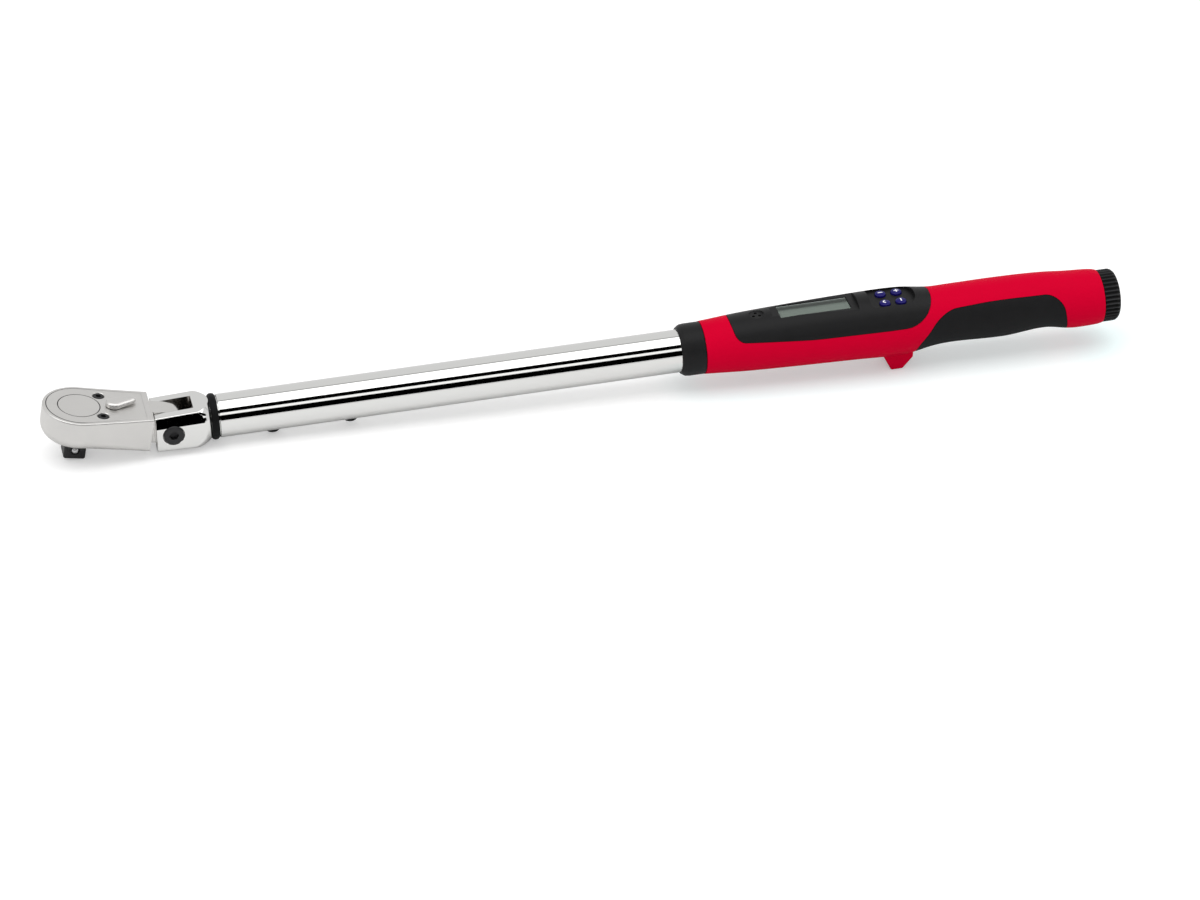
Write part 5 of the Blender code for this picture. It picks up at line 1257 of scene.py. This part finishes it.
class WRENCH_OT_display_window(bpy.types.Operator):
    """Clear window over the display"""

    bl_idname = "torque_wrench.display_window"
    bl_label = "Display window"

    def execute(self, context):
        lens = block(LENS_LOW - Vector((0, context.scene.wrench_handle.lens_near, 0)), LENS_HIGH)
        soften(lens, 0.25 * MM, 3, lambda edge: max(v.co.z for v in edge.verts) > LENS_HIGH.z - TOUCH)
        piece(lens, "display_lens_clear", "lever", "clear_window", "display_lens")
        return {"FINISHED"}


class WRENCH_OT_keys(bpy.types.Operator):
    """Four domed keys with plain white symbols"""

    bl_idname = "torque_wrench.keys"
    bl_label = "Keys"

    def execute(self, context):
        sizes = context.scene.wrench_handle
        for x, y, label in key_places(sizes):
            low, high = span("button_" + label, TOOL)
            radius = sizes.key_diameter / 2
            flange = (high.x - low.x) / 2
            dome = 1.1 * MM
            points = stack(low.z, (flange, low.z + 0.6 * MM), (radius, high.z - dome))[:-1]
            for i in range(1, 13):
                angle = math.pi / 2 * i / 12
                points.append((radius * math.cos(angle), high.z - dome + dome * math.sin(angle)))
            key = shift(lathe(points, 64), x, y)
            made = piece(key, "key_" + label + "_domed", "key_" + label, "navy_rubber", "button_" + label)
            made.data.materials[0] = self.marked(context.scene.wrench_colours, label, (x, y))
        return {"FINISHED"}

    def marked(self, colours, label, place):
        """Key rubber with one printed sign: a bar, a plus, an open ring or a minus."""
        made = Finish("navy_key_" + label)
        x, y, _ = made.axes(made.place((place[0] + TOOL.translation.x, place[1], 0)))
        width, reach, edge = 0.36 * MM, 1.45 * MM, 0.08 * MM

        def within(value, limit):
            return made.under(abs(value), limit - edge, limit + edge)

        lengthwise = within(x, width) * within(y, reach)
        crosswise = within(y, width) * within(x, reach)
        if label == "plus":
            mask = lengthwise.math("MAXIMUM", crosswise)
        elif label == "units":
            ring = (x * x + y * y).math("SQRT") - 1.0 * MM
            mask = within(ring, width) * made.under(x, 0.2 * MM, 0.36 * MM)
        else:
            mask = crosswise if label == "power" else lengthwise
        base = made.blend(mask, tuple(colours.navy), SIGN_TONE)
        made.surface(Specular_IOR_Level=0.18)
        return made.surface(Base_Color=base, Roughness=0.24 + 0.1 * made.noise(700, 2))


class WRENCH_OT_battery_cap(bpy.types.Operator):
    """Ribbed battery cap with its plug"""

    bl_idname = "torque_wrench.battery_cap"
    bl_label = "Battery cap"

    def execute(self, context):
        sizes = context.scene.wrench_handle
        outer = (CAP_HIGH.z - CAP_LOW.z) / 2
        start, end = HANDLE_END + 0.3 * MM, CAP_HIGH.x
        soft = 3.2 * MM
        # Place along the tool, radius and depth of the grooves
        rows = [
            (start, outer - 0.5 * MM, 0.0), (start + 0.4 * MM, outer, 0.3),
            (start + 1.0 * MM, outer, 1.0),
        ]
        rows += [(end - soft * (1.25 - 0.05 * i), outer, 1.0) for i in range(5)]
        for i in range(1, 13):
            angle = math.pi / 2 * i / 12
            reach = outer - soft + soft * math.cos(angle)
            rows.append((end - soft + soft * math.sin(angle), reach, max(0.0, 1 - 1.5 * i / 12)))
        rows += [(end, outer - soft - 1.2 * MM, 0.0), (end - 0.5 * MM, outer - soft - 1.9 * MM, 0.0)]
        table = {row[0] + 1e-9 * i: row for i, row in enumerate(rows)}

        def ring(x, angle):
            _, radius, depth = table[x]
            wave = 0.5 - 0.5 * math.cos(angle * sizes.cap_ribs)
            return radius - sizes.cap_rib_depth * depth * wave**0.7, CAP_MIDDLE

        cap = tubed(list(table), sizes.cap_ribs * 8, ring)
        plug = lathe(stack(CAP_LOW.x, (9.7 * MM, start + MM)), 96, (0, 0.6 * MM, 0, 0))
        cap = joined(cap, shift(turn(plug, ALONG_X), 0, 0, CAP_MIDDLE), "UNION")
        cup = turn(rod(7.6 * MM, CAP_LOW.x - MM, CAP_LOW.x + 5 * MM, 64), ALONG_X)
        cap = carved(cap, shift(cup, 0, 0, CAP_MIDDLE))
        made = piece(cap, "battery_cap_ribbed", "cap", "black_plastic", "battery_cap", sharp=40)
        made.data.materials[0] = self.ribbed(context.scene.wrench_colours, sizes.cap_ribs)
        return {"FINISHED"}

    def ribbed(self, colours, ribs):
        """Black plastic with painted highlights on the crests of the ribs and painted shade in the
        grooves.
        """
        made = Finish("black_plastic_ribbed")
        centre = TOOL.translation + Vector((0, 0, CAP_MIDDLE))
        _, y, z = made.axes(made.place(centre))
        # Painted light: crests lighter and grooves darker in the base colour
        crest = ((z.math("ARCTAN2", y) * ribs).math("COSINE") * 0.5 + 0.5).math("POWER", 3.0)
        base = made.blend(crest, shaded(colours.black, 0.12), shaded(colours.black, 3.4))
        made.surface(Specular_IOR_Level=0.12)
        return made.surface(Base_Color=base, Roughness=0.35 + 0.1 * made.noise(150, 2))


class WRENCH_OT_inner_finishes(bpy.types.Operator):
    """Finishes of the inner pieces that keep their CAD shape"""

    bl_idname = "torque_wrench.inner_finishes"
    bl_label = "Inner pieces"

    def execute(self, context):
        for node, made in frame["nodes"].items():
            if made.hide_render or not made.data.materials:
                continue
            name = made.data.materials[0].name.split(".")[0]
            found = [slot for slot in FINISHES if name.endswith(slot)]
            if not found:
                raise RuntimeError("no finish for the slot " + name + " of " + node)
            made.material_slots[0].material = FINISHES[found[0]]
        return {"FINISHED"}


# Studio

# Lower and upper angle above the front horizon in degrees, and brightness
REFLECTION_CARDS = ((4.5, 31.5, 0.0), (31.5, 44.0, 1.15), (44.0, 62.5, 0.0), (109.0, 115.0, 0.45))


class WRENCH_OT_studio(bpy.types.Operator):
    """Pale floor and room, overhead softbox, front fill, reflection cards and the camera"""

    bl_idname = "torque_wrench.studio"
    bl_label = "Studio"

    def execute(self, context):
        stage = context.scene.wrench_stage
        self.floor()
        self.room(context.scene, stage)
        self.lamp("softbox", (3.4, 0.93), (0.30, -0.11, 1.10), 0, stage.softbox)
        self.lamp("fill", (2.4, 0.8), (0.30, -1.5, 0.35), 80, stage.fill, False)
        for card in REFLECTION_CARDS:
            self.card(*card)
        self.camera(context.scene, stage)
        context.scene.view_settings.view_transform = "Standard"
        return {"FINISHED"}

    def floor(self):
        """The plane under drive and hand stop, with a painted tint below the handle that cancels the red
        light bounced from it.
        """
        tip = TOOL @ Vector((STOP_TIP_X, 0, HANDLE_LOW.z))
        heel = HEAD @ Vector((DRIVE_X + DRIVE_HEEL, 0, DRIVE_END))
        slope = math.atan2(heel.z - tip.z, tip.x - heel.x)
        shape = bmesh.new()
        bmesh.ops.create_grid(shape, x_segments=1, y_segments=1, size=8.0)
        bmesh.ops.rotate(shape, matrix=Matrix.Rotation(slope, 4, "Y"), verts=shape.verts)
        bmesh.ops.translate(shape, vec=heel - Vector((0, 0, 0.1 * MM)), verts=shape.verts)
        made = Finish("studio_floor")
        x, y, _ = made.axes(made.place(TOOL.translation))
        # Painted light: the floor under the handle is tinted to cancel the red light bounced from the
        # handle
        handle = made.band(x, 280 * MM, 335 * MM) * made.under(x, 555 * MM, 610 * MM)
        grip = made.band(x, 430 * MM, 460 * MM) * made.under(x, 525 * MM, 550 * MM)
        under = handle * (1 - 0.7 * grip) * made.under(abs(y + 5 * MM), 5 * MM, 60 * MM)
        base = made.blend(under, FLOOR_TONE, FLOOR_TONE_AGAINST_RED_BOUNCE)
        made.surface(Base_Color=base, Roughness=0.9, Specular_IOR_Level=0.0)
        rays = ("Is Camera Ray", "Is Glossy Ray", "Is Transmission Ray")
        camera, mirror, clear = (made.node("ShaderNodeLightPath", {}, {}, ray) for ray in rays)
        glow = camera * 0.34 + mirror.math("MAXIMUM", clear) * 0.02
        made.surface(Emission_Color=(1, 1, 1, 1), Emission_Strength=glow)
        floor = as_object(shape, "studio_floor")
        floor.data.materials.append(made.material)

    def room(self, scene, stage):
        """A pale world that is pure white to the camera."""
        world = bpy.data.worlds.new("studio_room")
        world.use_nodes = True
        scene.world = world
        made = Finish("studio_room", world.node_tree)
        camera = made.node("ShaderNodeLightPath", {}, {}, "Is Camera Ray")
        strength = camera * (1 - stage.room) + stage.room
        back = world.node_tree.nodes["Background"]
        back.inputs["Color"].default_value = (1, 1, 1, 1)
        made.feed(back.inputs["Strength"], strength)

    def lamp(self, name, size, place, tilt, radiance, glossy=True):
        """A rectangular area light, which reflections show or not."""
        data = bpy.data.lights.new(name, "AREA")
        data.shape = "RECTANGLE"
        data.size, data.size_y = size
        data.energy = radiance * math.pi * data.size * data.size_y
        made = bpy.data.objects.new(name, data)
        made.location = place
        made.rotation_euler = (math.radians(tilt), 0, 0)
        made.visible_glossy = glossy
        bpy.context.scene.collection.objects.link(made)

    def card(self, low, high, shade):
        """A long card seen only in reflections, between two angles above the front horizon."""
        shape = bmesh.new()
        y, z = -0.8 * math.cos(math.radians(low)), 0.8 * math.sin(math.radians(low))
        start = [shape.verts.new((x, y, z)) for x in (-1.6, 2.4)]
        edge = shape.edges.new(start)
        bmesh.ops.spin(
            shape, geom=[*start, edge], cent=(0, 0, 0), axis=(-1, 0, 0), dvec=(0, 0, 0),
            angle=math.radians(high - low), steps=6,
        )
        made = Finish("reflection_card")
        made.surface(Base_Color=(0, 0, 0, 1), Specular_IOR_Level=0.0)
        made.surface(Emission_Color=(1, 1, 1, 1), Emission_Strength=shade)
        card = as_object(shape, "reflection_card")
        card.data.materials.append(made.material)
        for rays in ("camera", "diffuse", "shadow", "transmission"):
            setattr(card, "visible_" + rays, False)

    def camera(self, scene, stage):
        """The photograph's camera, from two angles, a roll and a distance."""
        data = bpy.data.cameras.new("camera")
        data.lens = stage.lens
        data.sensor_width = 36.0
        data.clip_end = 50.0
        made = bpy.data.objects.new("camera", data)
        angles = (stage.azimuth, stage.elevation, stage.roll)
        azimuth, elevation, roll = (math.radians(angle) for angle in angles)
        level = Vector((math.sin(azimuth), -math.cos(azimuth), 0)) * math.cos(elevation)
        back = level + Vector((0, 0, math.sin(elevation)))
        across = (-back).cross(Vector((0, 0, 1))).normalized()
        up = across.cross(-back)
        right = across * math.cos(roll) + up * math.sin(roll)
        upright = up * math.cos(roll) - across * math.sin(roll)
        turned = Matrix((right, upright, back)).transposed()
        target = TOOL @ Vector((0.25196, 0.0, -0.06146))
        made.matrix_world = Matrix.Translation(target + back * stage.distance) @ turned.to_4x4()
        scene.collection.objects.link(made)
        scene.camera = made


class WRENCH_PT_builder(bpy.types.Panel):
    """Lists the pieces of the torque wrench and their sizes"""

    bl_label = "Torque Wrench"
    bl_idname = "WRENCH_PT_builder"
    bl_space_type = "VIEW_3D"
    bl_region_type = "UI"
    bl_category = "Torque Wrench"

    def draw(self, context):
        for group, operators in GROUPS:
            box = self.layout.box()
            settings = getattr(context.scene, group)
            for name in settings.bl_rna.properties.keys():
                if name not in ("rna_type", "name"):
                    box.prop(settings, name)
            for operator in operators:
                box.operator(operator.bl_idname)


GROUPS = (
    ("wrench_colours", (WRENCH_OT_inner_finishes,)),
    ("wrench_head", (WRENCH_OT_ratchet_housing, WRENCH_OT_cover_plate, WRENCH_OT_reverser_lever)),
    ("wrench_drive", (WRENCH_OT_drive,)),
    ("wrench_yoke", (WRENCH_OT_flex_yoke, WRENCH_OT_lever_tube, WRENCH_OT_collar)),
    ("wrench_handle", (
        WRENCH_OT_handle_housing, WRENCH_OT_grip_insert, WRENCH_OT_display_panel, WRENCH_OT_display_window,
        WRENCH_OT_keys, WRENCH_OT_battery_cap,
    )),
    ("wrench_stage", (WRENCH_OT_studio,)),
)
SETTINGS = {
    "wrench_colours": FinishColours,
    "wrench_head": HeadSizes,
    "wrench_drive": DriveSizes,
    "wrench_yoke": YokeSizes,
    "wrench_handle": HandleSizes,
    "wrench_stage": StageSettings,
}


def register():
    """Make the settings, the operators and the panel known to Blender."""
    for group, settings in SETTINGS.items():
        bpy.utils.register_class(settings)
        setattr(bpy.types.Scene, group, PointerProperty(type=settings))
    for _, operators in GROUPS:
        for operator in operators:
            bpy.utils.register_class(operator)
    bpy.utils.register_class(WRENCH_PT_builder)


def unregister():
    """Take all of it back."""
    bpy.utils.unregister_class(WRENCH_PT_builder)
    for _, operators in reversed(GROUPS):
        for operator in reversed(operators):
            bpy.utils.unregister_class(operator)
    for group, settings in reversed(SETTINGS.items()):
        delattr(bpy.types.Scene, group)
        bpy.utils.unregister_class(settings)


def main():
    """Build everything in order."""
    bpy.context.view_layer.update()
    register()
    for maker in MAKERS:
        FINISHES[maker.__name__] = maker(bpy.context.scene.wrench_colours)
    builders = bpy.ops.torque_wrench
    builders.ratchet_housing()
    builders.cover_plate()
    builders.reverser_lever()
    builders.drive()
    builders.flex_yoke()
    builders.lever_tube()
    builders.collar()
    builders.handle_housing()
    builders.grip_insert()
    builders.display_panel()
    builders.display_window()
    builders.keys()
    builders.battery_cap()
    builders.inner_finishes()
    builders.studio()


if __name__ == "__main__":
    main()
